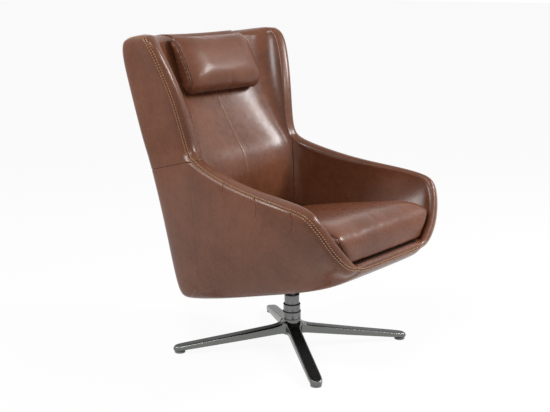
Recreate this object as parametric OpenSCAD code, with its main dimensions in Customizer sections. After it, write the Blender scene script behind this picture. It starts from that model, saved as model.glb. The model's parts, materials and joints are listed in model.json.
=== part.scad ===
// A reclining shell chair: a leather covered wing shell with a loose seat cushion and a
// headrest pillow, tilting on a swivel column over a four-armed star base.
// The front of the chair faces -Y, and the floor is z = 0.

/* [Shell] */
// Height of the top edge of the back above the floor
shell_top = 1046; // [1000:1:1090]
// Height of the lowest point of the shell above the floor
shell_low = 167; // [162:1:180]
// Width of the shell across the arms, to the middle of the bulges
shell_w = 754; // [720:1:800]
// Depth of the shell from the front edge to the back of the head
shell_d = 834; // [800:1:880]
// Thickness of the padded rim
wall = 50; // [46:1:54]
// How far the side covers bulge under the arm seam
shoulder = 14; // [8:1:16]
// Height over which that bulge forms
shoulder_drop = 46; // [40:1:52]

/* [Seat cushion] */
// How far the cushion's sides stand out over the sides of the deck, as the arms flare
cushion_flare = 18; // [6:1:20]
// Play of the cushion between the front of its place and the inner back
cushion_play = 9; // [7:1:20]
// Height of the cushion's side band between its two seams
cushion_band = 80; // [60:1:96]
// Rise of the crown of its top over the upper seam
cushion_crown = 26; // [14:1:34]

/* [Headrest] */
// Width of the headrest pillow
pillow_w = 392; // [360:1:410]
// Height of the headrest pillow along the back
pillow_h = 206; // [180:1:216]
// Thickness of the headrest pillow
pillow_t = 90; // [60:1:96]
// Thickness of the leather flap and of the covers' hide
hide = 2.4; // [1.6:0.1:3]
// Height of the counterweight pad behind the back
weight_h = 76; // [60:1:90]
// Thickness of the counterweight pad
weight_t = 13; // [9:0.5:16]

/* [Column] */
// Diameter of the upper sleeve
upper_sleeve_d = 50; // [49:0.5:54]
// Diameter of the middle sleeve
middle_sleeve_d = 56.5; // [55:0.5:60]
// Diameter of the hub neck
neck_d = 60.6; // [60.2:0.1:66]
// Height of the top of the hub casting above the floor
hub_top = 100; // [96:1:103]
// Height of the hub neck
neck_h = 25; // [22:1:27]
// Height of the middle sleeve
middle_h = 25; // [22:1:27]
// Height of the upper sleeve
upper_h = 33; // [29:1:34]
// Diameter of the turning spindle
spindle_d = 28; // [25:0.5:30]
// Outer diameter of the fixed column tube
tube_d = 44; // [42:0.5:46]

/* [Star base] */
// Distance from the column axis to the tip of an arm
arm_reach = 401; // [370:1:430]
// Width of an arm at its middle
arm_w = 43; // [38:1:50]
// Depth of an arm where it leaves the hub
arm_deep = 29; // [26:1:34]
// Depth of an arm at its tip
tip_deep = 15; // [12:1:18]
// Height of the foot pads
pad_h = 9; // [7:0.5:12]
// Diameter of the foot pads
pad_d = 36; // [30:1:38]

/* [Tilt mechanism] */
// Height of the tilt pivot above the bottom of the shell
pivot_rise = 70; // [66:1:74]
// Diameter of the pivot pin
pivot_d = 12; // [10:0.5:14]
// Depth of the yoke, front to back
yoke_d = 100; // [90:1:110]
// Distance between the inner faces of the yoke's ears
yoke_gap = 92; // [84:1:100]
// Thickness of the yoke's steel
yoke_t = 6; // [5:0.5:8]
// Width of the rocker plate under the seat block
plate_w = 180; // [160:1:200]
// Depth of the rocker plate
plate_d = 150; // [136:1:160]
// Thickness of the rocker plate
plate_t = 5; // [4:0.5:6]
// Diameter of the bolts that hold the rocker plate
bolt_d = 8; // [6:0.5:8]

/* [Hidden] */

// Place of the column axis in front of the middle of the footprint
axis_y = -36.6;
// Clearance of a turning fit, on the radius
running = 0.05;
// Clearance of a pressed or glued seat, on the radius
seated = 0.02;
// Clearance between faces that slide or rest
rest = 0.3;
// How far a cut runs past the face that it opens
over = 1;
// Points closer together than this are one point
touch = 0.001;
// Roundness of turned parts
$fn = 64;

// Stations of the shell from the top edge, over the wings, the waist and the arms, to the
// front edge. Each table holds one value for a station.
// Half the distance between the rims, as shares of half the width
rim_x_shares = [.849, .881, .804, .743, .711, .740, .793, .849, .905, .926, .923, .849, .740, .615, .531];
// Place of the rim behind the column axis, as shares of the depth
rim_y_shares = [.381, .341, .288, .254, .228, .189, .072, -.072, -.228, -.348, -.400, -.434, -.457,
    -.465, -.465];
// Height of the rim over the lowest point, as shares of the shell's height
rim_z_shares = [.999, .964, .840, .714, .603, .563, .528, .499, .480, .461, .433, .370, .306, .257, .239];
// Angle that the rim's outer side leans down
lean_angles = [0, 0, 0, 0, 0, 0, 4, 8, 14, 20, 26, 34, 42, 58, 80];
// Shares of the shoulder bulge and of the wall
bulge_shares = [0, 0, 0, 0, 0, .4, 1, 1, 1, .9, .5, .1, 0, 0, 0];
thick_shares = [1, 1, 1, 1, 1, 1, 1, 1, 1, 1, 1, 1, .90, .76, .68];
// Outer face: depth and height of its middle, and half its width
out_y_shares = [.513, .535, .528, .508, .484, .460, .405, .360, .309, .144, -.048, -.204, -.330, -.414,
    -.463];
out_z_shares = [.985, .948, .823, .697, .595, .504, .265, .038, .003, .026, .069, .106, .143, .181, .213];
out_x_shares = [.844, .891, .844, .801, .775, .753, .727, .706, .695, .679, .663, .642, .605, .552, .504];
// Inner face: depth and height of its middle, and half its width
in_y_shares = [.463, .458, .414, .354, .282, .228, .206, .200, .136, .012, -.132, -.258, -.348, -.414, -.458];
in_z_shares = [.985, .948, .823, .709, .595, .504, .322, .208, .199, .206, .2175, .228, .236, .244, .2515];
in_x_shares = [.716, .716, .676, .663, .658, .663, .668, .668, .668, .668, .663, .653, .621, .552, .464];
// Rise of the top edge between its corners, as shares of the wall, one for each column
top_rise_shares = [0, .08, .10, .08, .04, 0];
// How far down the outer and the inner face each column lies, and how wide it is there
out_fall_shares = [.55, .90, .975, 1];
out_reach_shares = [.5, 1, .8, 0];
in_fall_shares = [.60, .93, .99, 1];
in_reach_shares = [.6, .97, .72, 0];
front_fall_shares = [0, .2, .45, .7, .9, 1];
front_reach_shares = [1, .96, .90, .82, .62, 0];
// Depth of the inner column below the rim, as shares of the wall and of the way down
inner_drop_share = .9;
inner_limit_share = .4;
// Rows of the shell's grid, in stations, and columns of half of it
row_place_shares = [0, .12, .3, .6, 1, 1.5, 2, 2.6, 3.2, 3.8, 4.4, 5, 5.5, 6, 6.5, 7, 7.5, 8,
    8.5, 9, 9.6, 10.3, 11, 11.6, 12.2, 12.7, 13.1, 13.4, 13.7, 13.88, 14];
column_place_shares = [0, .1, .28, .55, 1, 1.55, 2.2, 3, 3.7, 4.3, 4.65, 5];
// Place of the side seam's column on each row: from the waist it runs down and out to the sole
side_place_shares = [2.2, 2.2, 2.2, 2.2, 2.2, 2.2, 2.2, 2.2, 2.1, 1.9, 1.4, .85, 1.2, 1.6, 1.9, 2.1, 2.3,
    2.6, 2.8, 2.95, 3, 3, 3, 3, 2.95, 2.9, 2.8, 2.75, 2.7, 2.7, 2.7];
// Rows and columns of that grid at which the covers are sewn
roll_row = 2;
waist_row = 11;
inner_row = 15;
sole_row = 17;
well_row = 18;
well_end = 21;
frame_row = 4;
roll_column = 2;
frame_column = 4;
side_column = 6;
deck_column = 7;
well_column = 8;
// Widths of a sewn joint and of the frame's glued joints, in shares of a cell, and layers of the
// shell as shares of its thickness
seam_share = .02;
frame_seam_share = .13;
shell_seam_share = .09;
cover_layer = [0, .05];
outer_layer = [.07, .13];
inner_layer = [.78, .925];
frame_layer = [.062, .925];
lining_layer = [.935, 1];
block_layer = [.4, .93];

half_w = shell_w / 2;
stations = len(rim_x_shares);
last = stations - 1;
half_columns = len(column_place_shares) - 1;
rows = len(row_place_shares) - 1;
columns = 2 * half_columns;
middle = half_columns;

function lerp(a, b, t) = a + (b - a) * t;
function unit(v) = v / norm(v);
function y_at(share) = axis_y + shell_d * share;

// A cubic spline that passes close by every point of a list, at the given places
function reflected(p) = concat([2 * p[0] - p[1]], p, [2 * p[len(p) - 1] - p[len(p) - 2]]);
function sharpened(p) = let (q = reflected(p))
    [for (i = [1 : len(p)]) (8 * q[i] - q[i - 1] - q[i + 1]) / 6];
function spline(p, places) = let (c = reflected(sharpened(p)))
    [for (t = places) let (i = min(floor(t), len(p) - 2), f = t - i, g = 1 - f)
        (g * g * g * c[i] + (3 * f * f * f - 6 * f * f + 4) * c[i + 1]
            + (3 * g * g * g - 6 * g * g + 4) * c[i + 2] + f * f * f * c[i + 3]) / 6];

// Below the waist the shell is as high as its seat needs for the mechanism: the shares of its
// inner and outer face over the column take in the tilt, its bolts and the padding over them.
// Above the waist the shares reach up to the top edge.
waist_share = .504;
bottom_station_share = 9.75;
seat_share = spline(in_z_shares, [bottom_station_share])[0] - spline(out_z_shares, [bottom_station_share])[0];
// Height of the pivot over the yoke's plate and under the rocker's plate
pivot_lift = 22;
pivot_head = 18;
bolt_l = 26;
deck_padding = 19.04;
low_h = (pivot_rise + pivot_head + plate_t + bolt_l + deck_padding) / seat_share;
waist_z = shell_low + low_h * waist_share;
function z_at(share) = share < waist_share ? shell_low + low_h * share
    : lerp(waist_z, shell_top, (share - waist_share) / (1 - waist_share));

// The nets of points that carry the outer and the inner face of the shell
function rim(i) = [-half_w * rim_x_shares[i], y_at(rim_y_shares[i]), z_at(rim_z_shares[i])];
function outer_middle(i) = [0, y_at(out_y_shares[i]), z_at(out_z_shares[i])];
function inner_middle(i) = [0, y_at(in_y_shares[i]), z_at(in_z_shares[i])];
function outward(i) = [-cos(lean_angles[i]), 0, -sin(lean_angles[i])];
function way(a, b) = [0, b[1] - a[1], b[2] - a[2]];
function down(a, b, share, x) = [x, lerp(a[1], b[1], share), lerp(a[2], b[2], share)];
function front_row(e, m) =
    [for (k = [0 : 5]) down(e, m, front_fall_shares[k], e[0] * front_reach_shares[k])];
function outer_row(i) = let (e = rim(i), m = outer_middle(i), n = outward(i),
        half = wall * thick_shares[i] / 2, reach = half_w * out_x_shares[i],
        swell = half + shoulder * bulge_shares[i], side = way(e, m),
        p = e + n * swell + unit(side) * shoulder_drop,
        x = p[0] - (reach + e[0] - half) * shoulder_drop / norm(side))
    i == last ? front_row(e + n * half, m) :
    concat([e + n * half, [x, p[1], p[2]]],
        [for (k = [0 : 3]) down(e, m, out_fall_shares[k],
            k == 0 ? lerp(x, -reach, out_reach_shares[0]) : -reach * out_reach_shares[k])]);
function inner_row(i) = let (e = rim(i), m = inner_middle(i), n = outward(i),
        half = wall * thick_shares[i] / 2, reach = half_w * in_x_shares[i], side = way(e, m),
        q = e - n * half + unit(side) * min(wall * inner_drop_share, norm(side) * inner_limit_share))
    i == last ? front_row(e - n * half, m) :
    concat([e - n * half, q],
        [for (k = [0 : 3]) down(e, m, in_fall_shares[k],
            k == 0 ? lerp(q[0], -reach, in_reach_shares[0]) : -reach * in_reach_shares[k])]);
function level_top(row) = [for (k = [0 : 5]) [row[k][0], row[k][1],
    lerp(rim(0)[2], outer_middle(0)[2], k / 5) + wall * top_rise_shares[k]]];
function flip_x(p) = [-p[0], p[1], p[2]];
function whole(row) = concat(row, [for (k = [4 : -1 : 0]) flip_x(row[k])]);
outer_net = [for (i = [0 : last]) whole(i == 0 ? level_top(outer_row(i)) : outer_row(i))];
inner_net = [for (i = [0 : last]) whole(i == 0 ? level_top(inner_row(i)) : inner_row(i))];
net_columns = len(outer_net[0]);

// Columns of one row: they are spread again on both sides of the side seam's column
function spread(row, v) = let (a = column_place_shares[roll_column], b = column_place_shares[side_column],
        c = column_place_shares[half_columns], s = side_place_shares[row])
    v <= a ? v : v <= b ? lerp(a, s, (v - a) / (b - a)) : lerp(s, c, (v - b) / (c - b));
function across_places(row) = let (half = [for (v = column_place_shares) spread(row, v)])
    concat(half, [for (k = [half_columns - 1 : -1 : 0]) net_columns - 1 - half[k]]);

// The two faces on one grid, before the rim is rounded
function face(net) = let (along = [for (k = [0 : net_columns - 1])
        spline([for (i = [0 : last]) net[i][k]], row_place_shares)])
    [for (i = [0 : rows]) spline([for (k = [0 : net_columns - 1]) along[k][i]], across_places(i))];
outer_flat = face(outer_net);
inner_flat = face(inner_net);
middle_face = (outer_flat + inner_flat) / 2;

// Distance of a grid point from the crest of the rim, and the half-round that it gives the rim
function from_crest(i, j) = let (m = middle_face[i][j],
        side = min(norm(m - middle_face[i][0]), norm(m - middle_face[i][columns])),
        end = min(norm(m - middle_face[0][j]), norm(m - middle_face[rows][j])))
    side < touch || end < touch ? 0 : 1 / sqrt(1 / (side * side) + 1 / (end * end));
function rounding(i, j) = let (d = 1 - min(from_crest(i, j) / (wall / 2), 1)) sqrt(1 - d * d);
function rounded_face(flat) = [for (i = [0 : rows]) [for (j = [0 : columns])
    lerp(middle_face[i][j], flat[i][j], rounding(i, j))]];
outer_face = rounded_face(outer_flat);
inner_face = rounded_face(inner_flat);

// A point of the shell at a row and a column of the grid, and a depth from 0, outside, to 1
function on_grid(face, i, j) = let (a = min(floor(i), rows - 1), b = min(floor(j), columns - 1))
    lerp(lerp(face[a][b], face[a][b + 1], j - b), lerp(face[a + 1][b], face[a + 1][b + 1], j - b), i - a);
function in_shell(i, j, depth) = lerp(on_grid(outer_face, i, j), on_grid(inner_face, i, j), depth);
// Grid lines from a to b; a line that isn't on the shell's own edge gives way for the seam
function lines(a, b, count, seam) = [for (k = [a : b])
    k == a && a > 0 ? a + seam : k == b && b < count ? b - seam : k];

// A closed solid between two grids of points that face each other. Cells inside one of the
// openings, each given as first and last row and column, are left out.
function is_open(r, c, openings) = len([for (o = openings)
    if (r >= o[0] && r < o[1] && c >= o[2] && c < o[3]) 1]) > 0;
module slab(front, back, openings = []) {
    n = len(front) - 1;
    m = len(front[0]) - 1;
    size = (n + 1) * (m + 1);
    function kept(r, c) = r >= 0 && r < n && c >= 0 && c < m && !is_open(r, c, openings);
    function at(r, c) = r * (m + 1) + c;
    function is_shared(r, c) = norm(front[r][c] - back[r][c]) < touch;
    function behind(r, c) = is_shared(r, c) ? at(r, c) : size + at(r, c);
    // The two triangles of a cell, split along its other diagonal where both ends are shared
    function halves(p, q, s, t, other) = other ? [[p, q, t], [q, s, t]] : [[p, q, s], [p, s, t]];
    function wall_faces(p, q) = is_shared(p[0], p[1]) && is_shared(q[0], q[1]) ? [] :
        [for (f = [[at(q[0], q[1]), at(p[0], p[1]), behind(p[0], p[1])],
                   [at(q[0], q[1]), behind(p[0], p[1]), behind(q[0], q[1])]])
            if (f[0] != f[1] && f[1] != f[2] && f[0] != f[2]) f];
    faces = [for (r = [0 : n - 1], c = [0 : m - 1]) let (
            other = is_shared(r, c) && is_shared(r + 1, c + 1)) if (kept(r, c)) each concat(
        halves(at(r, c), at(r + 1, c), at(r + 1, c + 1), at(r, c + 1), other),
        halves(behind(r, c), behind(r, c + 1), behind(r + 1, c + 1), behind(r + 1, c), other),
        kept(r, c - 1) ? [] : wall_faces([r, c], [r + 1, c]),
        kept(r + 1, c) ? [] : wall_faces([r + 1, c], [r + 1, c + 1]),
        kept(r, c + 1) ? [] : wall_faces([r + 1, c + 1], [r, c + 1]),
        kept(r - 1, c) ? [] : wall_faces([r, c + 1], [r, c]))];
    polyhedron(concat([for (row = front) each row], [for (row = back) each row]), faces);
}

// One layer of the shell between rows a and b and columns c and d
module layer(a, b, c, d, depths, openings = [], seam = seam_share) {
    across = lines(c, d, columns, seam);
    along = lines(a, b, rows, seam);
    slab([for (i = along) [for (j = across) in_shell(i, j, depths[0])]],
         [for (i = along) [for (j = across) in_shell(i, j, depths[1])]], openings);
}

// A closed solid through a list of rings of points, closed at both ends by a fan
function mean(points) = [for (p = points) 1] * points / len(points);
module loft(rings) {
    n = len(rings[0]);
    m = len(rings);
    first = m * n;
    function next(i) = (i + 1) % n;
    polyhedron(concat([for (ring = rings) each ring], [mean(rings[0]), mean(rings[m - 1])]),
        concat([for (k = [0 : m - 2], i = [0 : n - 1]) each
                [[k * n + i, (k + 1) * n + next(i), k * n + next(i)],
                 [k * n + i, (k + 1) * n + i, (k + 1) * n + next(i)]]],
            [for (i = [0 : n - 1]) [i, next(i), first]],
            [for (i = [0 : n - 1]) [(m - 1) * n + next(i), (m - 1) * n + i, first + 1]]));
}

// A sheet that follows a grid of points at two heights over it
function grid_normal(g, r, c) = let (n = len(g) - 1, m = len(g[0]) - 1)
    unit(cross(g[r][min(c + 1, m)] - g[r][max(c - 1, 0)], g[min(r + 1, n)][c] - g[max(r - 1, 0)][c]));
function raised(g, height) = [for (r = [0 : len(g) - 1]) [for (c = [0 : len(g[0]) - 1])
    g[r][c] + grid_normal(g, r, c) * height]];

// Heights of the mechanism, worked out from the shell where the column meets it
bottom_z = z_at(spline(out_z_shares, [bottom_station_share])[0]);
pivot_z = bottom_z + pivot_rise;
// Radius of the ears round the pin
yoke_ear_r = 14;
rocker_ear_r = 12.5;
yoke_top = pivot_z - pivot_lift;
spindle_top = yoke_top - yoke_t;
plate_z = pivot_z + pivot_head;
plate_top = plate_z + plate_t;

// Column heights
neck_top = hub_top + neck_h;
middle_top = neck_top + middle_h;
upper_top = middle_top + upper_h;
ring_h = 2.6;
ring_proud = 0.7;
tube_bore_d = 36;
tube_foot = 56;
hub_floor = 50;
pad_t = 4;
bush_h = 22;
bolt_head_h = 6;

module turned(outer_d, bore_d, z0, z1) {
    translate([0, axis_y, z0]) difference() {
        cylinder(h = z1 - z0, d = outer_d);
        translate([0, 0, -over]) cylinder(h = z1 - z0 + 2 * over, d = bore_d);
    }
}

// Star base: a cast hub with four sloping arms
hub_r = 34;
flare_r = 42;
hub_low = 46;
hub_hole_d = 14;
hub_wall = 12;
arm_turn_angle = 47.4;
arm_count = 4;
arm_root = 22;
// Along an arm from the hub to the tip: distance, width, how far the top has come down, and
// how far it still rises to the neck
arm_place_shares = [0, .016, .035, .055, .08, .12, .28, .45, .62, .78, .90, .95, .975, .99, 1];
arm_width_shares = [1.75, 1.40, 1.18, 1.06, 1.01, 1, 1, 1, 1, .99, .98, .92, .74, .50, .20];
arm_fall_shares = [0, .01, .02, .04, .065, .11, .28, .46, .63, .79, .91, .96, .985, 1.02, 1.08];
arm_rise_shares = [.66, .47, .30, .16, .06, 0, 0, 0, 0, 0, 0, 0, 0, 0, 0];
// Points round half an arm's section: shares of its half width and of its depth
arm_edge_shares = [[1, 0], [1, .72], [.88, .93], [.72, 1], [0, .985]];
arm_crown = 80;
tip_top = 23.5;

function arm_ring(k) = let (r = lerp(arm_root, arm_reach, arm_place_shares[k]),
        level = lerp(arm_crown, tip_top, arm_fall_shares[k]),
        top = level + (hub_top - arm_crown) * arm_rise_shares[k],
        deep = lerp(arm_deep, tip_deep, min(arm_fall_shares[k], 1)),
        low = min(max(level - deep, pad_h), level - deep / 2),
        half = arm_w / 2 * arm_width_shares[k])
    concat([for (e = arm_edge_shares) [r, half * e[0], lerp(low, top, e[1])]],
        [for (k = [3 : -1 : 0]) [r, -half * arm_edge_shares[k][0], lerp(low, top, arm_edge_shares[k][1])]]);

module star_base() {
    color("#2a2b2c") translate([0, axis_y, 0]) difference() {
        union() {
            for (k = [0 : arm_count - 1]) rotate([0, 0, arm_turn_angle + 360 / arm_count * k])
                loft([for (i = [0 : len(arm_place_shares) - 1]) arm_ring(i)]);
            rotate_extrude() hub_profile();
        }
        translate([0, 0, tube_foot]) cylinder(h = hub_top, d = tube_d + 2 * seated);
        translate([0, 0, hub_floor - over]) cylinder(h = hub_top, d = hub_hole_d);
        translate([0, 0, -over]) cylinder(h = hub_floor + over, r = hub_r - hub_wall);
    }
}
module hub_profile() {
    polygon([[0, hub_low], [hub_r, hub_low], [flare_r, hub_low + flare_r - hub_r],
        [flare_r, arm_crown],
        for (k = [0 : 6]) [lerp(flare_r, neck_d / 2, sin(15 * k)),
            lerp(arm_crown, hub_top, 1 - cos(15 * k))],
        [0, hub_top]]);
}

pad_lip = 2;
module foot_pads() {
    color("#5c5f60") translate([0, axis_y, 0]) for (k = [0 : arm_count - 1])
        rotate([0, 0, arm_turn_angle + 360 / arm_count * k]) translate([arm_reach - arm_w / 2, 0, 0])
            rotate_extrude() polygon([[0, 0], [pad_d / 2 - pad_lip, 0], [pad_d / 2, pad_lip],
                [pad_d / 2, pad_h - seated], [0, pad_h - seated]]);
}

module column_tube() {
    color("#6d7072") turned(tube_d, tube_bore_d, tube_foot, upper_top - ring_h);
}
module hub_neck() {
    color("#55585a") turned(neck_d, tube_d + 2 * seated, hub_top, neck_top - ring_h);
}
module middle_sleeve() {
    color("#5f6264") turned(middle_sleeve_d, tube_d + 2 * seated, neck_top, middle_top - ring_h);
}
module upper_sleeve() {
    color("#66696b") turned(upper_sleeve_d, tube_d + 2 * seated, middle_top, upper_top - ring_h);
}
module lower_ring() {
    color("#131313") turned(neck_d + 2 * ring_proud, tube_d + 2 * seated, neck_top - ring_h, neck_top);
}
module middle_ring() {
    color("#131313") turned(middle_sleeve_d + 2 * ring_proud, tube_d + 2 * seated,
        middle_top - ring_h, middle_top);
}
module top_ring() {
    color("#131313") turned(upper_sleeve_d + 2 * ring_proud, spindle_d + 2 * ring_proud,
        upper_top - ring_h, upper_top);
}
module lower_bush() {
    color("ivory") turned(tube_bore_d - 2 * seated, spindle_d + 2 * running,
        tube_foot + pad_t, tube_foot + pad_t + bush_h);
}
module upper_bush() {
    color("ivory") turned(tube_bore_d - 2 * seated, spindle_d + 2 * running,
        upper_top - ring_h - bush_h, upper_top - ring_h);
}
module thrust_pad() {
    color("goldenrod") turned(tube_bore_d - 2 * seated, hub_hole_d, tube_foot, tube_foot + pad_t);
}

// Turning parts: spindle, its holding bolt and the yoke of the tilt
bolt_pocket = 30;
hub_bolt_d = 10;
washer_t = 3;
module spindle() {
    color("silver") translate([0, axis_y, 0]) difference() {
        translate([0, 0, tube_foot + pad_t + seated])
            cylinder(h = spindle_top - tube_foot - pad_t - seated, d = spindle_d);
        translate([0, 0, tube_foot]) cylinder(h = bolt_pocket, d = hub_bolt_d + 2 * seated);
    }
}
module hub_bolt() {
    color("dimgray") translate([0, axis_y, 0]) {
        translate([0, 0, hub_floor - washer_t - rest])
            cylinder(h = bolt_pocket + washer_t, d = hub_bolt_d);
        translate([0, 0, hub_floor - washer_t - rest - bolt_head_h])
            cylinder(h = bolt_head_h, d = 2 * hub_bolt_d - washer_t, $fn = 6);
    }
}
module hub_washer() {
    color("silver") turned(hub_r, hub_bolt_d + 2 * seated, hub_floor - washer_t - rest / 2,
        hub_floor - rest / 2);
}

ear_flange = 1.6;
ear_slack = 0.2;
bush_wall = 2;
pin_end = 4;
clip_t = 1.5;
clip_wall = 3.5;
yoke_w = yoke_gap + 2 * yoke_t;
pin_l = yoke_w + 2 * pin_end;
module along_x(x0, x1, d, fineness = 64) {
    translate([x0, axis_y, pivot_z]) rotate([0, 90, 0]) cylinder(h = x1 - x0, d = d, $fn = fineness);
}
module ear(x0, thickness, r, base_z) {
    along_x(x0, x0 + thickness, 2 * r);
    translate([x0, axis_y - r, min(base_z, pivot_z)]) cube([thickness, 2 * r, abs(pivot_z - base_z)]);
}
module yoke() {
    color("#202224") difference() {
        union() {
            translate([-yoke_w / 2, axis_y - yoke_d / 2, spindle_top]) cube([yoke_w, yoke_d, yoke_t]);
            ear(-yoke_w / 2, yoke_t, yoke_ear_r, yoke_top - yoke_t / 2);
            ear(yoke_gap / 2, yoke_t, yoke_ear_r, yoke_top - yoke_t / 2);
        }
        along_x(-yoke_w, yoke_w, pivot_d + 2 * seated);
    }
}
module pivot_pin() {
    color("silver") along_x(-pin_l / 2, pin_l / 2, pivot_d);
}
module pin_clips() {
    color("dimgray") for (side = [-1, 1]) difference() {
        translate([side * (yoke_w / 2 + rest + clip_t / 2), 0, 0])
            along_x(-clip_t / 2, clip_t / 2, pivot_d + 2 * clip_wall);
        along_x(-yoke_w, yoke_w, pivot_d + 2 * seated);
    }
}
spring_d = 22;
spring_wire = 4;
spring_x = 20;
spring_y = 34;
module tilt_springs() {
    color("gainsboro") for (side = [-1, 1]) translate([side * spring_x, spring_y, 0])
        turned(spring_d, spring_d - 2 * spring_wire, yoke_top, plate_z - rest);
}
stop_w = 44;
stop_d = 12;
module tilt_stop() {
    color("#1a1a1a") translate([-stop_w / 2, axis_y - spring_y - stop_d / 2, yoke_top])
        cube([stop_w, stop_d, plate_z - yoke_top - rest / 2]);
}

// Parts of the tilting seat under the cushion
bolt_x_share = .39;
bolt_y_share = .33;
head_h = 5;
nut_wall = 2;
rocker_ear_t = 6;
rocker_ear_x = yoke_gap / 2 - ear_flange - ear_slack;
module rocker() {
    color("#202224") difference() {
        union() {
            translate([-plate_w / 2, axis_y - plate_d / 2, plate_z]) cube([plate_w, plate_d, plate_t]);
            ear(-rocker_ear_x, rocker_ear_t, rocker_ear_r, plate_z + plate_t / 2);
            ear(rocker_ear_x - rocker_ear_t, rocker_ear_t, rocker_ear_r, plate_z + plate_t / 2);
        }
        along_x(-yoke_gap / 2, yoke_gap / 2, pivot_d + 2 * bush_wall + 2 * seated);
        bolt_places() cylinder(h = plate_top, d = bolt_d + 2 * rest);
    }
}
module rocker_bushes() {
    color("ivory") for (side = [0, 1]) mirror([side, 0, 0]) difference() {
        union() {
            along_x(rocker_ear_x - rocker_ear_t, rocker_ear_x + touch, pivot_d + 2 * bush_wall);
            along_x(rocker_ear_x, rocker_ear_x + ear_flange, 2 * rocker_ear_r - bush_wall);
        }
        along_x(0, yoke_gap, pivot_d + 2 * running);
    }
}
module bolt_places() {
    for (x = [-plate_w * bolt_x_share, plate_w * bolt_x_share])
        for (y = [-plate_d * bolt_y_share, plate_d * bolt_y_share])
            translate([x, axis_y + y, 0]) children();
}
module plate_bolts() {
    color("dimgray") bolt_places() {
        translate([0, 0, plate_z - head_h]) cylinder(h = head_h, d = 2 * bolt_d - head_h / 2);
        translate([0, 0, plate_z - touch]) cylinder(h = bolt_l, d = bolt_d);
    }
}
module insert_nuts() {
    color("silver") bolt_places() translate([0, 0, plate_top + seated]) difference() {
        cylinder(h = bolt_l - plate_t - rest, d = bolt_d + 2 * nut_wall);
        translate([0, 0, -over]) cylinder(h = bolt_l + over, d = bolt_d + 2 * seated);
    }
}
module seat_block() {
    color("burlywood") difference() {
        layer(well_row, well_end, well_column, columns - well_column, block_layer);
        translate([-shell_w / 2, axis_y - shell_d / 2, 0]) cube([shell_w, shell_d, plate_top]);
        bolt_places() cylinder(h = plate_top + bolt_l, d = bolt_d + 2 * nut_wall + 2 * seated);
    }
}

// The shell: a rim frame that joins an outer and an inner shell, a leather rim roll in two
// lengths, outer covers and linings
leather = "#6f463a";
module rim_frame() {
    color("#8a7a5c") layer(roll_row, rows - roll_row, roll_column, columns - roll_column, frame_layer,
        [[frame_row - roll_row, rows - frame_row - roll_row,
          frame_column - roll_column, columns - frame_column - roll_column]], frame_seam_share);
}
module shell_half(depths) {
    layer(frame_row, rows - frame_row, frame_column, columns - frame_column, depths,
        [[well_row - frame_row, well_end - frame_row,
          well_column - frame_column, columns - well_column - frame_column]], shell_seam_share);
}
module outer_shell() {
    color("#3a3532") shell_half(outer_layer);
}
module inner_shell() {
    color("#c9b27a") shell_half(inner_layer);
}
module upper_rim_roll() {
    color("#744a3d") layer(0, waist_row, 0, columns, [0, 1],
        [[roll_row, rows, roll_column, columns - roll_column]]);
}
module lower_rim_roll() {
    color("#744a3d") layer(waist_row, rows, 0, columns, [0, 1],
        [[0, rows - waist_row - roll_row, roll_column, columns - roll_column]]);
}
module upper_back_cover() {
    color(leather) layer(roll_row, waist_row, roll_column, columns - roll_column, cover_layer);
}
module lower_back_cover() {
    color(leather) layer(waist_row, sole_row, side_column, columns - side_column, cover_layer);
}
module right_side_cover() {
    color(leather) layer(waist_row, rows - roll_row, roll_column, side_column, cover_layer);
}
module left_side_cover() {
    color(leather) layer(waist_row, rows - roll_row, columns - side_column, columns - roll_column,
        cover_layer);
}
module underside_cover() {
    color(leather) layer(sole_row, rows - roll_row, side_column, columns - side_column, cover_layer,
        [[well_row - sole_row, well_end - sole_row,
          well_column - side_column, columns - well_column - side_column]]);
}
// The slot that the spindle passes: it leaves room for the tilt
slot_w = 40;
slot_l = 84;
slot_ahead = 6;
module dust_cover() {
    color("#1c1c1c") difference() {
        layer(well_row, well_end, well_column, columns - well_column, cover_layer);
        translate([-slot_w / 2, axis_y - slot_l / 2 - slot_ahead, 0]) cube([slot_w, slot_l, plate_top]);
    }
}
module inner_back_lining() {
    color(leather) layer(roll_row, inner_row, roll_column, columns - roll_column, lining_layer,
        [[waist_row - roll_row, inner_row, 0, deck_column - roll_column],
         [waist_row - roll_row, inner_row, columns - deck_column - roll_column, columns]]);
}
module right_arm_lining() {
    color(leather) layer(waist_row, rows - roll_row, roll_column, deck_column, lining_layer);
}
module left_arm_lining() {
    color(leather) layer(waist_row, rows - roll_row, columns - deck_column, columns - roll_column,
        lining_layer);
}
module seat_deck() {
    color("#4d342b") layer(inner_row, rows - roll_row, deck_column, columns - deck_column, lining_layer);
}

// Points round a rectangle with rounded corners, of width w, depth d and corner radius r
function outline(w, d, r, sides, turns) = [for (k = [0 : 3]) let (a = 90 * k,
        across = k % 2 == 0 ? w : d, deep = k % 2 == 0 ? d : w)
    each [for (p = concat(
            [for (t = [0 : sides - 1]) [deep / 2, lerp(r - across / 2, across / 2 - r, t / sides)]],
            [for (t = [0 : turns - 1]) [deep / 2 - r + r * cos(90 * t / turns),
                across / 2 - r + r * sin(90 * t / turns)]]))
        [p[0] * sin(a) + p[1] * cos(a), p[0] * cos(a) - p[1] * sin(a)]]];

// Seat cushion: its top rolls over the front, and its band is drawn in between its corners
cushion_front_share = -.440;
cushion_station = 10;
back_station = 6;
cushion_w = 2 * (half_w * in_x_shares[cushion_station] + cushion_flare);
cushion_d = shell_d * (in_y_shares[back_station] - cushion_front_share) - cushion_play;
top_rise_share = .0933;
sole_rise_share = .041;
cushion_sag = 12;
cushion_lift = 7 * rest;
cushion_z = z_at(in_z_shares[cushion_station]) + cushion_lift + cushion_sag + cushion_band / 2;
cushion_pull = 6;
cushion_corner = 42;
cushion_sides = 7;
cushion_turns = 4;
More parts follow.
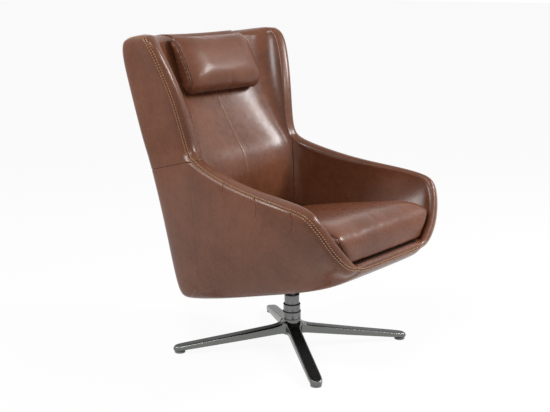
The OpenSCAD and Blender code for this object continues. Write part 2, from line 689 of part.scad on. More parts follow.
// Narrowing to the rear, to the sole, and of the sole to the front, as shares of the width
rear_taper_share = .11;
sole_taper_share = .10;
front_taper_share = .11;
// Down the section: distance from the middle, and height over the upper seam
cushion_shares = [[.12, 1], [.36, .97], [.57, .88], [.73, .73], [.84, .52], [.92, .24], [.97, -.10],
    [.995, -.6]];
band_shares = [.25, .5, .75, 1];
sole_shares = [[.93, .30], [.80, .75], [.55, .95], [.20, 1]];
function cushion_at(p, out, z, lower, pull) = let (u = p[0] / (cushion_w / 2), v = p[1] / (cushion_d / 2),
        rear = max(v, 0), front = max(-v, 0),
        narrow = (1 - rear_taper_share * rear * rear)
            * (1 - lower * (sole_taper_share + front_taper_share * pow(front, 4))))
    [p[0] * out * narrow - pull * u * (1 - v * v), y_at(cushion_front_share) + cushion_d / 2
        + p[1] * out - pull * abs(v) * (1 - u * u),
     cushion_z + z - low_h * lerp(top_rise_share, sole_rise_share, lower) / 2 * v * out];
function cushion_ring(out, z, lower, pull) =
    [for (p = outline(cushion_w, cushion_d, cushion_corner, cushion_sides, cushion_turns))
        cushion_at(p, out, z, lower, pull)];
module seat_cushion() {
    half = cushion_band / 2;
    color("#85594a") loft(concat(
        [for (s = cushion_shares) cushion_ring(s[0], half + cushion_crown * s[1], 0, 0)],
        [for (t = band_shares) cushion_ring(1, lerp(half, -half, t), t, cushion_pull * sin(180 * t))],
        [for (s = sole_shares) cushion_ring(s[0], -half - cushion_sag * s[1], 1, 0)]));
}

// Headrest pillow: crowned on both faces, gathered at its ends, leaning on the inner back
pillow_lean_angle = 21;
pillow_place_share = 5.35;
pillow_back_share = .38;
pillow_pull = 3;
pillow_corner = 34;
pillow_sides = 6;
pillow_turns = 4;
pillow_shares = [[.12, 1], [.36, .97], [.58, .87], [.76, .69], [.89, .45], [.97, .20], [1, 0]];
// The pillow's middle: its top edge lies a little under the top edge of the back
pillow_up = [0, sin(pillow_lean_angle), cos(pillow_lean_angle)];
pillow_out = [0, -cos(pillow_lean_angle), sin(pillow_lean_angle)];
pillow_back = in_shell(pillow_place_share, middle, 1);
function pillow_at(p, out, n) = let (u = p[0] / (pillow_w / 2), v = p[1] / (pillow_h / 2))
    pillow_middle + [out * (p[0] - pillow_pull * u * (1 - v * v)), 0, 0]
        + pillow_up * out * (p[1] - pillow_pull * v * (1 - u * u)) + pillow_out * n;
function pillow_ring(out, n) =
    [for (p = outline(pillow_w, pillow_h, pillow_corner, pillow_sides, pillow_turns)) pillow_at(p, out, n)];
pillow_middle = [0, pillow_back[1], pillow_back[2]]
    + pillow_out * (pillow_t * pillow_back_share + 4 * rest);
module headrest_pillow() {
    front = pillow_t * (1 - pillow_back_share);
    back = pillow_t * pillow_back_share;
    n = len(pillow_shares) - 1;
    color("#7d5243") loft(concat(
        [for (s = pillow_shares) pillow_ring(s[0], front * s[1])],
        [for (k = [n - 1 : -1 : 0]) pillow_ring(pillow_shares[k][0], -back * pillow_shares[k][1])]));
}

// Leather flap from behind the pillow over the top edge to the counterweight pad
flap_in_row = 4;
flap_out_row = 6;
flap_column_shares = [8.7, 9, 10, 11, 12, 13, 13.3];
module headrest_flap() {
    path = concat(
        [for (i = [flap_in_row : -1 : 1]) [for (j = flap_column_shares) on_grid(inner_face, i, j)]],
        [for (i = [0 : flap_out_row]) [for (j = flap_column_shares) on_grid(outer_face, i, j)]]);
    color("#5f3d32") slab(raised(path, hide + rest), raised(path, rest));
}
module counterweight() {
    w = 2 * on_grid(outer_face, flap_out_row, flap_column_shares[6])[0];
    edge = on_grid(outer_face, flap_out_row, middle);
    y = max([for (i = [0 : flap_out_row]) on_grid(outer_face, i, middle)[1]]) + hide + 2 * rest;
    color("#5f3d32") translate([-w / 2, y, edge[2]]) cube([w, weight_t, weight_h]);
}

star_base();
foot_pads();
column_tube();
hub_neck();
middle_sleeve();
upper_sleeve();
lower_ring();
middle_ring();
top_ring();
lower_bush();
upper_bush();
thrust_pad();
spindle();
hub_bolt();
hub_washer();
yoke();
pivot_pin();
pin_clips();
tilt_springs();
tilt_stop();
rocker();
rocker_bushes();
plate_bolts();
insert_nuts();
seat_block();
rim_frame();
outer_shell();
inner_shell();
upper_rim_roll();
lower_rim_roll();
upper_back_cover();
lower_back_cover();
right_side_cover();
left_side_cover();
underside_cover();
dust_cover();
inner_back_lining();
right_arm_lining();
left_arm_lining();
seat_deck();
seat_cushion();
headrest_pillow();
headrest_flap();
counterweight();
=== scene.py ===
# %% [markdown]
# # A leather swivel recliner
# This lesson dresses a ready frame: the chair's construction is loaded as plain solids, and each
# visible piece gets the surface and finish of the real one. Lengths are in metres. The sitter
# faces -Y, +X is at the sitter's left, and the floor is z = 0.

# %% Load the frame
import json
from math import cos, pi, radians, sin
import bpy
import bmesh
import numpy as np
from mathutils import Matrix, Vector
from mathutils.bvhtree import BVHTree


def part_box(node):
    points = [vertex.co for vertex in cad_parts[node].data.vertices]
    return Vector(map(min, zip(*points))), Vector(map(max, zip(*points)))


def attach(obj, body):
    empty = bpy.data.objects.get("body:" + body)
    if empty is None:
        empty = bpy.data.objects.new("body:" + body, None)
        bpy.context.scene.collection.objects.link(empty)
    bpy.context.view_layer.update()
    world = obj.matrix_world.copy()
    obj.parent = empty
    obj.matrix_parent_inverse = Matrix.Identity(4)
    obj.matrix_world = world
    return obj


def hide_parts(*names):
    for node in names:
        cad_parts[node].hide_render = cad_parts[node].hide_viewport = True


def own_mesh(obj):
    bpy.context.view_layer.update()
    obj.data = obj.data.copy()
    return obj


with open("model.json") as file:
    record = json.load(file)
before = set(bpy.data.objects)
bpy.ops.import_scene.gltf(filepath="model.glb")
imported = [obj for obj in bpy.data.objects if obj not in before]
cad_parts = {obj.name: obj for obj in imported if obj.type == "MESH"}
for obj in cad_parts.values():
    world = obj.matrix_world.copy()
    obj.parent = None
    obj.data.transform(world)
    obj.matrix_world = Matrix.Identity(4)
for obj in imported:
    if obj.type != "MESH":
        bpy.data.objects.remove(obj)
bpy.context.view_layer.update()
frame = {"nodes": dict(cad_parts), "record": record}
nodes = frame["nodes"]

# %% [markdown]
# ## Camera
# A product photo of a chair is taken from a little above, with a long lens, so that the chair
# keeps its true proportions. The camera stands on a sphere round the chair: a turn, a tilt and
# a distance place it, and two short offsets put the chair where the photo has it.

# %% Camera
column_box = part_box("column_tube")
AXIS_Y = (column_box[0].y + column_box[1].y) / 2
TURN = radians(-53.018)
TILT = radians(12.054)
DISTANCE = 3.6652
ASIDE = -0.05671
ABOVE = 0.47314
# the focal length is counted in pixels of a picture 550 pixels wide
FOCAL_PIXELS = 1079.2
PICTURE_W = 550


def place_camera():
    """The camera looks along -back: from the foot of the column's axis, its place is
    right * ASIDE + up * ABOVE + back * DISTANCE."""
    back = Vector((sin(TURN) * cos(TILT), -cos(TURN) * cos(TILT), sin(TILT)))
    right = Vector((cos(TURN), sin(TURN), 0))
    up = back.cross(right)
    lens = bpy.data.cameras.new("camera")
    lens.lens = FOCAL_PIXELS / PICTURE_W * lens.sensor_width
    camera = bpy.data.objects.new("camera", lens)
    bpy.context.scene.collection.objects.link(camera)
    place = right * ASIDE + up * ABOVE + back * DISTANCE + Vector((0, AXIS_Y, 0))
    turned = Matrix((right, up, back)).transposed().to_4x4()
    camera.matrix_world = Matrix.Translation(place) @ turned
    bpy.context.scene.camera = camera


place_camera()
print("the camera looks from", tuple(round(v, 3) for v in bpy.context.scene.camera.location))

# %% [markdown]
# ## Studio
# The chair stands in a white studio. The floor and the world show plain white to the camera and
# in reflections, while the light that falls on the leather comes from a soft world and a few
# large lamps, so that the leather's gloss draws long soft highlights.

# %% Studio
WORLD_LIGHT = 0.33
FLOOR_SIZE = 90
FLOOR_PAINT, FLOOR_GLOW = 0.93, 0.93
WHITE_RAYS = ("Is Camera Ray", "Is Glossy Ray", "Is Transmission Ray")


def link_rays(tree):
    """The largest of the Light Path rays that should see plain white."""
    path = tree.nodes.new("ShaderNodeLightPath")
    total = path.outputs[WHITE_RAYS[0]]
    for name in WHITE_RAYS[1:]:
        add = tree.nodes.new("ShaderNodeMath")
        add.operation = "MAXIMUM"
        tree.links.new(total, add.inputs[0])
        tree.links.new(path.outputs[name], add.inputs[1])
        total = add.outputs[0]
    return total


def make_world():
    """A world that lights softly and shows plain white."""
    world = bpy.data.worlds.new("studio")
    bpy.context.scene.world = world
    world.use_nodes = True
    tree = world.node_tree
    tree.nodes.clear()
    soft = tree.nodes.new("ShaderNodeBackground")
    soft.inputs["Strength"].default_value = WORLD_LIGHT
    white = tree.nodes.new("ShaderNodeBackground")
    white.inputs["Color"].default_value = (1, 1, 1, 1)
    mix = tree.nodes.new("ShaderNodeMixShader")
    out = tree.nodes.new("ShaderNodeOutputWorld")
    rays = link_rays(tree)
    tree.links.new(rays, mix.inputs[0])
    tree.links.new(soft.outputs[0], mix.inputs[1])
    tree.links.new(white.outputs[0], mix.inputs[2])
    tree.links.new(mix.outputs[0], out.inputs[0])


def make_floor():
    """A floor that takes the chair's shadow and shows nearly plain white."""
    mesh = bpy.data.meshes.new("floor")
    half = FLOOR_SIZE / 2
    mesh.from_pydata([(-half, -half, 0), (half, -half, 0), (half, half, 0), (-half, half, 0)],
                     [], [(0, 1, 2, 3)])
    floor = bpy.data.objects.new("floor", mesh)
    bpy.context.scene.collection.objects.link(floor)
    material = bpy.data.materials.new("studio_floor")
    material.use_nodes = True
    tree = material.node_tree
    paint = tree.nodes["Principled BSDF"]
    paint.inputs["Base Color"].default_value = (FLOOR_PAINT, FLOOR_PAINT, FLOOR_PAINT, 1)
    paint.inputs["Roughness"].default_value = 0.9
    paint.inputs["Specular IOR Level"].default_value = 0.1
    glow = tree.nodes.new("ShaderNodeEmission")
    glow.inputs["Strength"].default_value = 1
    mix = tree.nodes.new("ShaderNodeMixShader")
    share = tree.nodes.new("ShaderNodeMath")
    share.operation = "MULTIPLY"
    share.inputs[1].default_value = FLOOR_GLOW
    rays = link_rays(tree)
    tree.links.new(rays, share.inputs[0])
    tree.links.new(share.outputs[0], mix.inputs[0])
    tree.links.new(paint.outputs[0], mix.inputs[1])
    tree.links.new(glow.outputs[0], mix.inputs[2])
    tree.links.new(mix.outputs[0], tree.nodes["Material Output"].inputs[0])
    mesh.materials.append(material)


def add_lamp(name, place, target, size, power):
    """A rectangular soft box at place that shines on target: size in metres, power in watts."""
    light = bpy.data.lights.new(name, "AREA")
    light.shape = "RECTANGLE"
    light.size, light.size_y = size
    light.energy = power
    lamp = bpy.data.objects.new(name, light)
    bpy.context.scene.collection.objects.link(lamp)
    aim = (Vector(target) - Vector(place)).to_track_quat("-Z", "Y")
    lamp.matrix_world = Matrix.Translation(place) @ aim.to_matrix().to_4x4()


make_world()
make_floor()
CHAIR_MIDDLE = (0, 0, 0.6)
add_lamp("key_box", (2.0, -2.1, 2.4), CHAIR_MIDDLE, (0.75, 0.8), 84)
add_lamp("front_box", (0.6, -2.7, 2.4), CHAIR_MIDDLE, (0.3, 0.4), 20)
add_lamp("top_box", (-1.9, -0.6, 2.9), CHAIR_MIDDLE, (0.5, 0.5), 30)
add_lamp("side_box", (-2.0, 1.6, 2.5), CHAIR_MIDDLE, (0.9, 0.6), 46)
bpy.context.scene.view_settings.view_transform = "Standard"
print("studio ready, world light", WORLD_LIGHT)

# %% [markdown]
# ## Leather and metal finishes
# The chair wears a smooth, waxed, reddish brown hide. Its colour is never quite even: broad
# clouds of lighter and darker dye, a fine pebbled grain of about a millimetre, and a clear
# finish that catches the light. Each of these is one pattern on the piece's own coordinates, so
# the finish stays on the hide when the chair moves.

# %% Material helpers
def new_material(name, color, roughness, metallic=0.0):
    """A material with one Principled shader: returns it with its nodes, links and shader."""
    material = bpy.data.materials.new(name)
    material.use_nodes = True
    tree = material.node_tree
    shader = tree.nodes["Principled BSDF"]
    shader.inputs["Base Color"].default_value = (*color, 1)
    shader.inputs["Roughness"].default_value = roughness
    shader.inputs["Metallic"].default_value = metallic
    return material, tree, shader


def pattern(tree, kind, scale, **inputs):
    """A texture node on object coordinates: scale is in patterns per metre."""
    coords = tree.nodes.new("ShaderNodeTexCoord")
    node = tree.nodes.new(kind)
    tree.links.new(coords.outputs["Object"], node.inputs["Vector"])
    node.inputs["Scale"].default_value = scale
    for name, value in inputs.items():
        node.inputs[name].default_value = value
    return node


def ramp(tree, value, low, high):
    """Maps a value from 0..1 to low..high, numbers for roughness and the like."""
    node = tree.nodes.new("ShaderNodeMapRange")
    node.inputs["To Min"].default_value = low
    node.inputs["To Max"].default_value = high
    tree.links.new(value, node.inputs["Value"])
    return node.outputs["Result"]


def color_between(tree, value, stops):
    """A colour ramp through (place, colour) stops."""
    node = tree.nodes.new("ShaderNodeValToRGB")
    elements = node.color_ramp.elements
    for index, (place, color) in enumerate(stops):
        element = elements[index] if index < 2 else elements.new(place)
        element.position = place
        element.color = (*color, 1)
    tree.links.new(value, node.inputs["Fac"])
    return node.outputs["Color"]


def bump(tree, shader, heights):
    """Chains bump nodes: heights holds (value, strength, distance in metres)."""
    normal = None
    for value, strength, distance in heights:
        node = tree.nodes.new("ShaderNodeBump")
        node.inputs["Strength"].default_value = strength
        node.inputs["Distance"].default_value = distance
        tree.links.new(value, node.inputs["Height"])
        if normal:
            tree.links.new(normal, node.inputs["Normal"])
        normal = node.outputs["Normal"]
    tree.links.new(normal, shader.inputs["Normal"])


# %% Leather
# patterns per metre: dye clouds, mottling, pebbles, creases and waves
CLOUDS, MOTTLE, PEBBLES, CREASES, WAVES = 5.5, 46, 900, 210, 14
MOTTLE_SHARE = 0.35
DYE_DARK, DYE_PLAIN, DYE_LIGHT = 0.40, 0.67, 0.98
SMOOTHER, ROUGHER = 0.07, 0.09
SHINE, WAX, WAX_ROUGHNESS = 0.24, 0.08, 0.16


def make_leather(name, dark, plain, light, roughness, grain=0.12):
    """Hide: dye clouds at two scales pick a colour, cells and noise give the pebbled grain."""
    material, tree, shader = new_material(name, plain, roughness)
    clouds = pattern(tree, "ShaderNodeTexNoise", CLOUDS, Detail=6, Roughness=0.62)
    mottle = pattern(tree, "ShaderNodeTexNoise", MOTTLE, Detail=5, Roughness=0.6)
    blend = tree.nodes.new("ShaderNodeMath")
    blend.operation = "MULTIPLY_ADD"
    blend.inputs[1].default_value = MOTTLE_SHARE
    tree.links.new(mottle.outputs["Fac"], blend.inputs[0])
    tree.links.new(clouds.outputs["Fac"], blend.inputs[2])
    color = color_between(tree, blend.outputs[0],
                          [(DYE_DARK, dark), (DYE_LIGHT, light), (DYE_PLAIN, plain)])
    tree.links.new(color, shader.inputs["Base Color"])
    tree.links.new(ramp(tree, mottle.outputs["Fac"], roughness - SMOOTHER, roughness + ROUGHER),
                   shader.inputs["Roughness"])
    shader.inputs["Specular IOR Level"].default_value = SHINE
    shader.inputs["Coat Weight"].default_value = WAX
    shader.inputs["Coat Roughness"].default_value = WAX_ROUGHNESS
    pebbles = pattern(tree, "ShaderNodeTexVoronoi", PEBBLES)
    creases = pattern(tree, "ShaderNodeTexNoise", CREASES, Detail=4, Roughness=0.55)
    waves = pattern(tree, "ShaderNodeTexNoise", WAVES, Detail=2)
    bump(tree, shader, [(waves.outputs["Fac"], 0.25, 0.004),
                        (creases.outputs["Fac"], grain, 0.0008),
                        (pebbles.outputs["Distance"], grain, 0.0004)])
    return material


HIDE_DARK = (0.092, 0.030, 0.014)
HIDE = (0.132, 0.045, 0.021)
HIDE_LIGHT = (0.180, 0.067, 0.034)
shell_leather = make_leather("shell_leather", HIDE_DARK, HIDE, HIDE_LIGHT, 0.27)
cushion_leather = make_leather("cushion_leather", HIDE_DARK, (0.138, 0.045, 0.021), HIDE_LIGHT,
                               0.27, 0.1)
pillow_leather = make_leather("pillow_leather", HIDE_DARK, (0.132, 0.046, 0.023), HIDE_LIGHT,
                              0.36, 0.16)
flap_leather = make_leather("flap_leather", HIDE_DARK, (0.125, 0.044, 0.024), HIDE, 0.36)

# %% Thread, metal and the rest
def make_plain(name, color, roughness, metallic=0.0, grain_scale=300, grain=0.05, spread=0.12,
               shine=0.5):
    """A plain finish with slight cloudiness in its gloss and colour, and a fine surface grain."""
    material, tree, shader = new_material(name, color, roughness, metallic)
    shader.inputs["Specular IOR Level"].default_value = shine
    noise = pattern(tree, "ShaderNodeTexNoise", 38, Detail=4)
    dark = tuple(c * (1 - spread) for c in color)
    light = tuple(min(c * (1 + spread), 1) for c in color)
    tree.links.new(color_between(tree, noise.outputs["Fac"], [(0.3, dark), (0.7, light)]),
                   shader.inputs["Base Color"])
    tree.links.new(ramp(tree, noise.outputs["Fac"], roughness * 0.8, roughness * 1.25),
                   shader.inputs["Roughness"])
    fine = pattern(tree, "ShaderNodeTexNoise", grain_scale, Detail=3)
    bump(tree, shader, [(fine.outputs["Fac"], grain, 0.0003)])
    return material


thread = make_plain("tan_thread", (0.56, 0.33, 0.17), 0.6, grain_scale=2500, grain=0.4)
sleeve_metal = make_plain("gunmetal", (0.185, 0.190, 0.186), 0.30, 1.0, 900, 0.04)
bright_metal = make_plain("bright_steel", (0.62, 0.62, 0.63), 0.16, 1.0, 900, 0.02)
ring_rubber = make_plain("black_rubber", (0.012, 0.012, 0.012), 0.5)
pad_plastic = make_plain("grey_pad", (0.16, 0.165, 0.165), 0.42)
black_paint = make_plain("black_paint", (0.018, 0.018, 0.019), 0.38, grain_scale=1200, grain=0.15)
bush_plastic = make_plain("bush_plastic", (0.62, 0.58, 0.47), 0.45)
plywood = make_plain("plywood", (0.45, 0.30, 0.15), 0.6, grain_scale=120, grain=0.3, spread=0.25)
foam = make_plain("foam", (0.62, 0.56, 0.36), 0.9, grain_scale=1500, grain=0.6)
dark_cloth = make_plain("dark_cloth", (0.014, 0.014, 0.014), 0.9, grain_scale=1800, grain=0.5,
                        shine=0.1)
deck_cloth = make_plain("deck_cloth", (0.022, 0.010, 0.006), 0.8, grain_scale=1400, grain=0.5,
                        shine=0.1)

# the upward part of the normal at which the painted shade of the tops, near black, begins and is
# full
TOP_BEGINS, TOP_FULL = 0.86, 0.97


def make_cast_metal(name, side, top):
    """The casting: grey metal on its edges and sides, and on its flat tops a near-black painted
    shade that is not metal. The object's own normal picks between them, from TOP_BEGINS to
    TOP_FULL."""
    material, tree, shader = new_material(name, side, 0.3, 1.0)
    coords = tree.nodes.new("ShaderNodeTexCoord")
    split = tree.nodes.new("ShaderNodeSeparateXYZ")
    tree.links.new(coords.outputs["Normal"], split.inputs[0])
    up = tree.nodes.new("ShaderNodeMapRange")
    up.interpolation_type = "SMOOTHSTEP"
    up.inputs["From Min"].default_value = TOP_BEGINS
    up.inputs["From Max"].default_value = TOP_FULL
    tree.links.new(split.outputs["Z"], up.inputs["Value"])
    # the near-black of the tops is painted shade
    color = color_between(tree, up.outputs["Result"], [(0, side), (1, top)])
    tree.links.new(color, shader.inputs["Base Color"])
    tree.links.new(ramp(tree, up.outputs["Result"], 1, 0), shader.inputs["Metallic"])
    cloud = pattern(tree, "ShaderNodeTexNoise", 60, Detail=4)
    tree.links.new(ramp(tree, cloud.outputs["Fac"], 0.20, 0.34), shader.inputs["Roughness"])
    shader.inputs["Specular IOR Level"].default_value = 0.14
    fine = pattern(tree, "ShaderNodeTexNoise", 900, Detail=3)
    bump(tree, shader, [(fine.outputs["Fac"], 0.05, 0.0003)])
    return material


# grey metal sides, with near-black tops that are painted shade
base_metal = make_cast_metal("cast_metal_shaded_tops", (0.165, 0.170, 0.160), (0.012, 0.012, 0.012))

FINISHES = {
    "shell_leather": shell_leather, "base_metal": base_metal, "sleeve_metal": sleeve_metal,
    "pad_metal": pad_plastic, "ring_black": ring_rubber, "bright_steel": bright_metal,
    "dark_steel": black_paint, "bush_plastic": bush_plastic, "leather": shell_leather,
    "cushion_leather": cushion_leather, "plywood": plywood, "foam_shell": foam,
    "dark_cloth": dark_cloth,
}
for part in frame["record"]["subparts"]:
    mesh = nodes[part["node"]].data
    mesh.materials.clear()
    mesh.materials.append(FINISHES[part["material_slot"]])
print("materials:", len(bpy.data.materials))

# %% [markdown]
# ## The shell's two faces
# The body of the chair is one moulded shell. Think of a rubber sheet with a grid on it: station
# s runs from the top edge (0) over the wings and arms to the front edge (14), and column t runs
# from one rim (0) through the middle (5) to the other rim (10). A net of control points in
# round shares of the chair's sizes carries a smooth cubic surface for the outer face and one
# for the inner face. It could be sculpted by hand, but a net keeps both sides alike and lets
# every seam be a line of the grid.

# %% Sizes and nets of the shell
SHELL_TOP, SHELL_LOW = 1.046, 0.167
SHELL_W, SHELL_D = 0.754, 0.834
WALL = 0.050
SHOULDER, SHOULDER_DROP = 0.014, 0.046
LAST = 14
ACROSS = 10
# shares of the way from the rim: how far the second column lies down it, and where the front
# corner turns
END_DROP, INNER_DROP, INNER_LIMIT, FRONT_CORNER_FALL = .25, .9, .4, .66

# rows: shares of half the width, of the depth and of the height; one column for each station
rim_shares = np.array([
    [.849, .881, .804, .743, .711, .740, .793, .849, .905, .926, .923, .849, .740, .615, .531],
    [.381, .341, .288, .254, .228, .189, .072, -.072, -.228, -.348, -.400, -.434, -.457, -.465,
     -.465],
    [.999, .964, .840, .714, .603, .563, .528, .499, .480, .461, .433, .370, .306, .257, .239]])
outer_shares = np.array([
    [.844, .891, .844, .801, .775, .753, .727, .706, .695, .679, .663, .642, .605, .552, .504],
    [.513, .535, .528, .508, .484, .460, .405, .360, .309, .144, -.048, -.204, -.330, -.414, -.463],
    [.985, .948, .823, .697, .595, .504, .265, .038, .003, .026, .069, .106, .143, .181, .213]])
inner_shares = np.array([
    [.716, .716, .676, .663, .658, .663, .668, .668, .668, .668, .663, .653, .621, .552, .464],
    [.463, .458, .414, .354, .282, .228, .206, .200, .136, .012, -.132, -.258, -.348, -.414, -.458],
    [.985, .948, .823, .709, .595, .504, .322, .208, .199, .206, .2175, .228, .236, .244, .2515]])
lean_angles = np.radians([0, 0, 0, 0, 0, 0, 4, 8, 14, 20, 26, 34, 42, 58, 80])
bulge_shares = np.array([0, 0, 0, 0, 0, .4, 1, 1, 1, .9, .5, .1, 0, 0, 0])
thick_shares = np.array([1, 1, 1, 1, 1, 1, 1, 1, 1, 1, 1, 1, .90, .76, .68])
top_rise_shares = np.array([0, .08, .10, .08, .04, 0])
out_fall_shares, out_reach_shares = [.55, .90, .975, 1], [.5, 1, .8, 0]
in_fall_shares, in_reach_shares = [.60, .93, .99, 1], [.6, .97, .72, 0]
front_fall_shares = np.array([0, .2, .45, .7, .9, 1])
front_reach_shares = np.array([1, .96, .90, .82, .62, 0])


def place(shares):
    """Turns shares of half the width, the depth and the height into points in metres."""
    return np.stack([-SHELL_W / 2 * shares[0], AXIS_Y + SHELL_D * shares[1],
                     SHELL_LOW + (SHELL_TOP - SHELL_LOW) * shares[2]], 1)


def make_net(middle_shares, fall, reach, outward):
    """Control points from the rim down to the middle of one face, mirrored to the other side.
    The first two columns shape the rim, the rest go down the face by the given shares."""
    rim, middle = place(rim_shares), place(middle_shares)
    spread = -middle[:, 0]
    way = middle - rim
    way[:, 0] = 0
    length = np.linalg.norm(way, axis=1)
    half = WALL * thick_shares / 2
    normal = outward * np.stack([-np.cos(lean_angles), 0 * half, -np.sin(lean_angles)], 1)
    swell = half + (SHOULDER * bulge_shares if outward > 0 else 0)
    if outward > 0:
        drop = np.where(np.arange(LAST + 1) < LAST - 1, SHOULDER_DROP, length * END_DROP)
    else:
        drop = np.minimum(WALL * INNER_DROP, length * INNER_LIMIT)
    second = rim + normal * swell[:, None] + way * (drop / length)[:, None]
    if outward > 0:
        second[:, 0] -= (spread + rim[:, 0] - half) * drop / length
    columns = [rim + normal * half[:, None], second]
    for k in range(4):
        point = rim + way * fall[k]
        if k == 0 and outward > 0:
            point[-2] = rim[-2] + way[-2] * FRONT_CORNER_FALL
        if k == 0:
            point[:, 0] = second[:, 0] + (-spread - second[:, 0]) * reach[0]
        else:
            point[:, 0] = -spread * reach[k]
        columns.append(point)
    net = np.stack(columns, 1)
    edge = (rim + normal * half[:, None])[-1]
    net[-1] = rim[-1] + (middle[-1] - rim[-1]) * front_fall_shares[:, None]
    net[-1, :, 0] = edge[0] * front_reach_shares
    top = place(outer_shares)[0, 2]
    net[0, :, 2] = rim[0, 2] + (top - rim[0, 2]) * np.arange(6) / 5 + WALL * top_rise_shares
    mirrored = net[:, 4::-1] * [-1, 1, 1]
    return np.concatenate([net, mirrored], 1)


def sharpen(net, axis):
    """Moves control points out, so that the cubic surface passes through the given ones."""
    rows = np.moveaxis(net, axis, 0)
    longer = np.concatenate([[2 * rows[0] - rows[1]], rows, [2 * rows[-1] - rows[-2]]])
    sharp = (8 * longer[1:-1] - longer[:-2] - longer[2:]) / 6
    longer = np.concatenate([[2 * sharp[0] - sharp[1]], sharp, [2 * sharp[-1] - sharp[-2]]])
    return np.moveaxis(longer, 0, axis)


# the hollow between the wings: shares of the rim's width and of the way to the middle, the
# station where it has gone, and over how many stations it goes
WING_SHARES = [(.985, .14), (.94, .37), (.82, .66), (.53, .91)]
WING_END, WING_RUN = 6.8, 2.6


def make_barrel(net):
    """Puts the columns of the inner face on one even hollow from rim to rim."""
    hollow = net.copy()
    rim, way = net[:, 0], net[:, 5] - net[:, 0]
    for k, (x_share, way_share) in enumerate(WING_SHARES, 1):
        point = rim + way * way_share
        point[:, 0] = rim[:, 0] * x_share
        point[0, 2] = net[0, k, 2]
        hollow[:, k], hollow[:, ACROSS - k] = point, point * [-1, 1, 1]
    return hollow


box_net = make_net(inner_shares, in_fall_shares, in_reach_shares, -1)
wing_net = make_barrel(box_net)
wing_part = np.clip((WING_END - np.arange(LAST + 1)) / WING_RUN, 0, 1)[:, None, None]
outer_net = sharpen(sharpen(make_net(outer_shares, out_fall_shares, out_reach_shares, 1), 0), 1)
inner_net = sharpen(sharpen(box_net + (wing_net - box_net) * wing_part, 0), 1)
print("nets of", outer_net.shape[:2], "control points")

# %% [markdown]
# A point of the shell needs three numbers: station, column, and depth from 0 on the outer face
# to 1 on the inner one. Near the rim both faces bend towards their middle, by the height of a
# circle over its chord, and this rounds the padded edge.

# %% Points of the shell
TINY = 1e-9


def spline_weights(places, count):
    """Uniform cubic B-spline: the first of four control points, and the weight of each."""
    first = np.clip(np.floor(places).astype(int), 0, count - 4)
    f = places - first
    g = 1 - f
    weights = [g**3, 3 * f**3 - 6 * f**2 + 4, 3 * g**3 - 6 * g**2 + 4, f**3]
    return first[..., None] + np.arange(4), np.stack(weights, -1) / 6


def on_net(net, s, t):
    """Sums the 4 by 4 nearest control points, each times the product of its two weights."""
    rows, row_weights = spline_weights(s, net.shape[0])
    columns, column_weights = spline_weights(t, net.shape[1])
    near = net[rows[..., :, None], columns[..., None, :]]
    return np.einsum("...i,...j,...ijk->...k", row_weights, column_weights, near)


def on_shell(s, t, depth):
    """Point of the shell at station s, column t and depth, with its rim rounded:
    the face keeps sqrt(1 - (1 - d / r)^2) of its distance to the middle, d from the crest."""
    s, t, depth = np.broadcast_arrays(*(np.asarray(v, float) for v in (s, t, depth)))
    outer, inner = on_net(outer_net, s, t), on_net(inner_net, s, t)
    middle = (outer + inner) / 2

    def from_edge(a, b):
        edge = (on_net(outer_net, a, b) + on_net(inner_net, a, b)) / 2
        return np.linalg.norm(middle - edge, axis=-1)

    side = np.minimum(from_edge(s, 0 * t), from_edge(s, 0 * t + ACROSS))
    end = np.minimum(from_edge(0 * s, t), from_edge(0 * s + LAST, t))
    crest = side * end / np.maximum(np.hypot(side, end), TINY)
    keep = np.sqrt(1 - (1 - np.minimum(crest / (WALL / 2), 1)) ** 2)[..., None]
    face = outer + (inner - outer) * depth[..., None]
    return middle + (face - middle) * keep


print("top of the back:", on_shell(0, 5, 0.5).round(3))

# %% [markdown]
# ## Meshes from grids of points
# Every new piece is a grid of points worked out as one array. The helpers below turn such a grid
# into four-sided faces, turn them outwards, and hand the piece to the frame: which body it rides
# on, which plain solid it stands for, and which finish it wears.

# %% Mesh helpers
def grid_faces(rows, columns, wrap_rows=False, wrap_columns=False):
    """Corner numbers of the four-sided faces between neighbouring rows and columns."""
    r = np.arange(rows if wrap_rows else rows - 1)[:, None]
    c = np.arange(columns if wrap_columns else columns - 1)[None, :]
    r2, c2 = (r + 1) % rows, (c + 1) % columns
    corners = [r * columns + c, r * columns + c2, r2 * columns + c2, r2 * columns + c]
    return np.stack(np.broadcast_arrays(*corners), -1).reshape(-1, 4)


def make_mesh(name, points, faces, flip=False):
    """A smooth-shaded object from points and faces; flip turns every face round."""
    faces = np.asarray(faces)
    if flip:
        faces = faces[:, ::-1]
    mesh = bpy.data.meshes.new(name)
    mesh.from_pydata(np.reshape(points, (-1, 3)).tolist(), [], faces.tolist())
    mesh.shade_smooth()
    piece = bpy.data.objects.new(name, mesh)
    bpy.context.scene.collection.objects.link(piece)
    return piece


def finish_piece(piece, material, body, slot, *replaced):
    """Gives a piece its material and body, and hides the solids that it stands for. slot is not
    used.
    """
    piece.data.materials.clear()
    piece.data.materials.append(material)
    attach(piece, body)
    if replaced:
        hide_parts(*replaced)
    return piece


def add_modifier(piece, kind, **settings):
    """A modifier of the given kind with its settings."""
    modifier = piece.modifiers.new(kind.lower(), kind)
    for name, value in settings.items():
        setattr(modifier, name, value)
    return modifier


def apply_modifiers(piece):
    """Replaces the mesh by what its modifiers make of it."""
    graph = bpy.context.evaluated_depsgraph_get()
    mesh = bpy.data.meshes.new_from_object(piece.evaluated_get(graph))
    old = piece.data
    piece.modifiers.clear()
    piece.data = mesh
    mesh.name = old.name + "_made"
    bpy.data.meshes.remove(old)
    mesh.shade_smooth()


def grid_normals(points):
    """Unit normals of a grid: the cross product of its two directions."""
    normal = np.cross(np.gradient(points, axis=0), np.gradient(points, axis=1))
    return normal / np.maximum(np.linalg.norm(normal, axis=-1, keepdims=True), 1e-12)


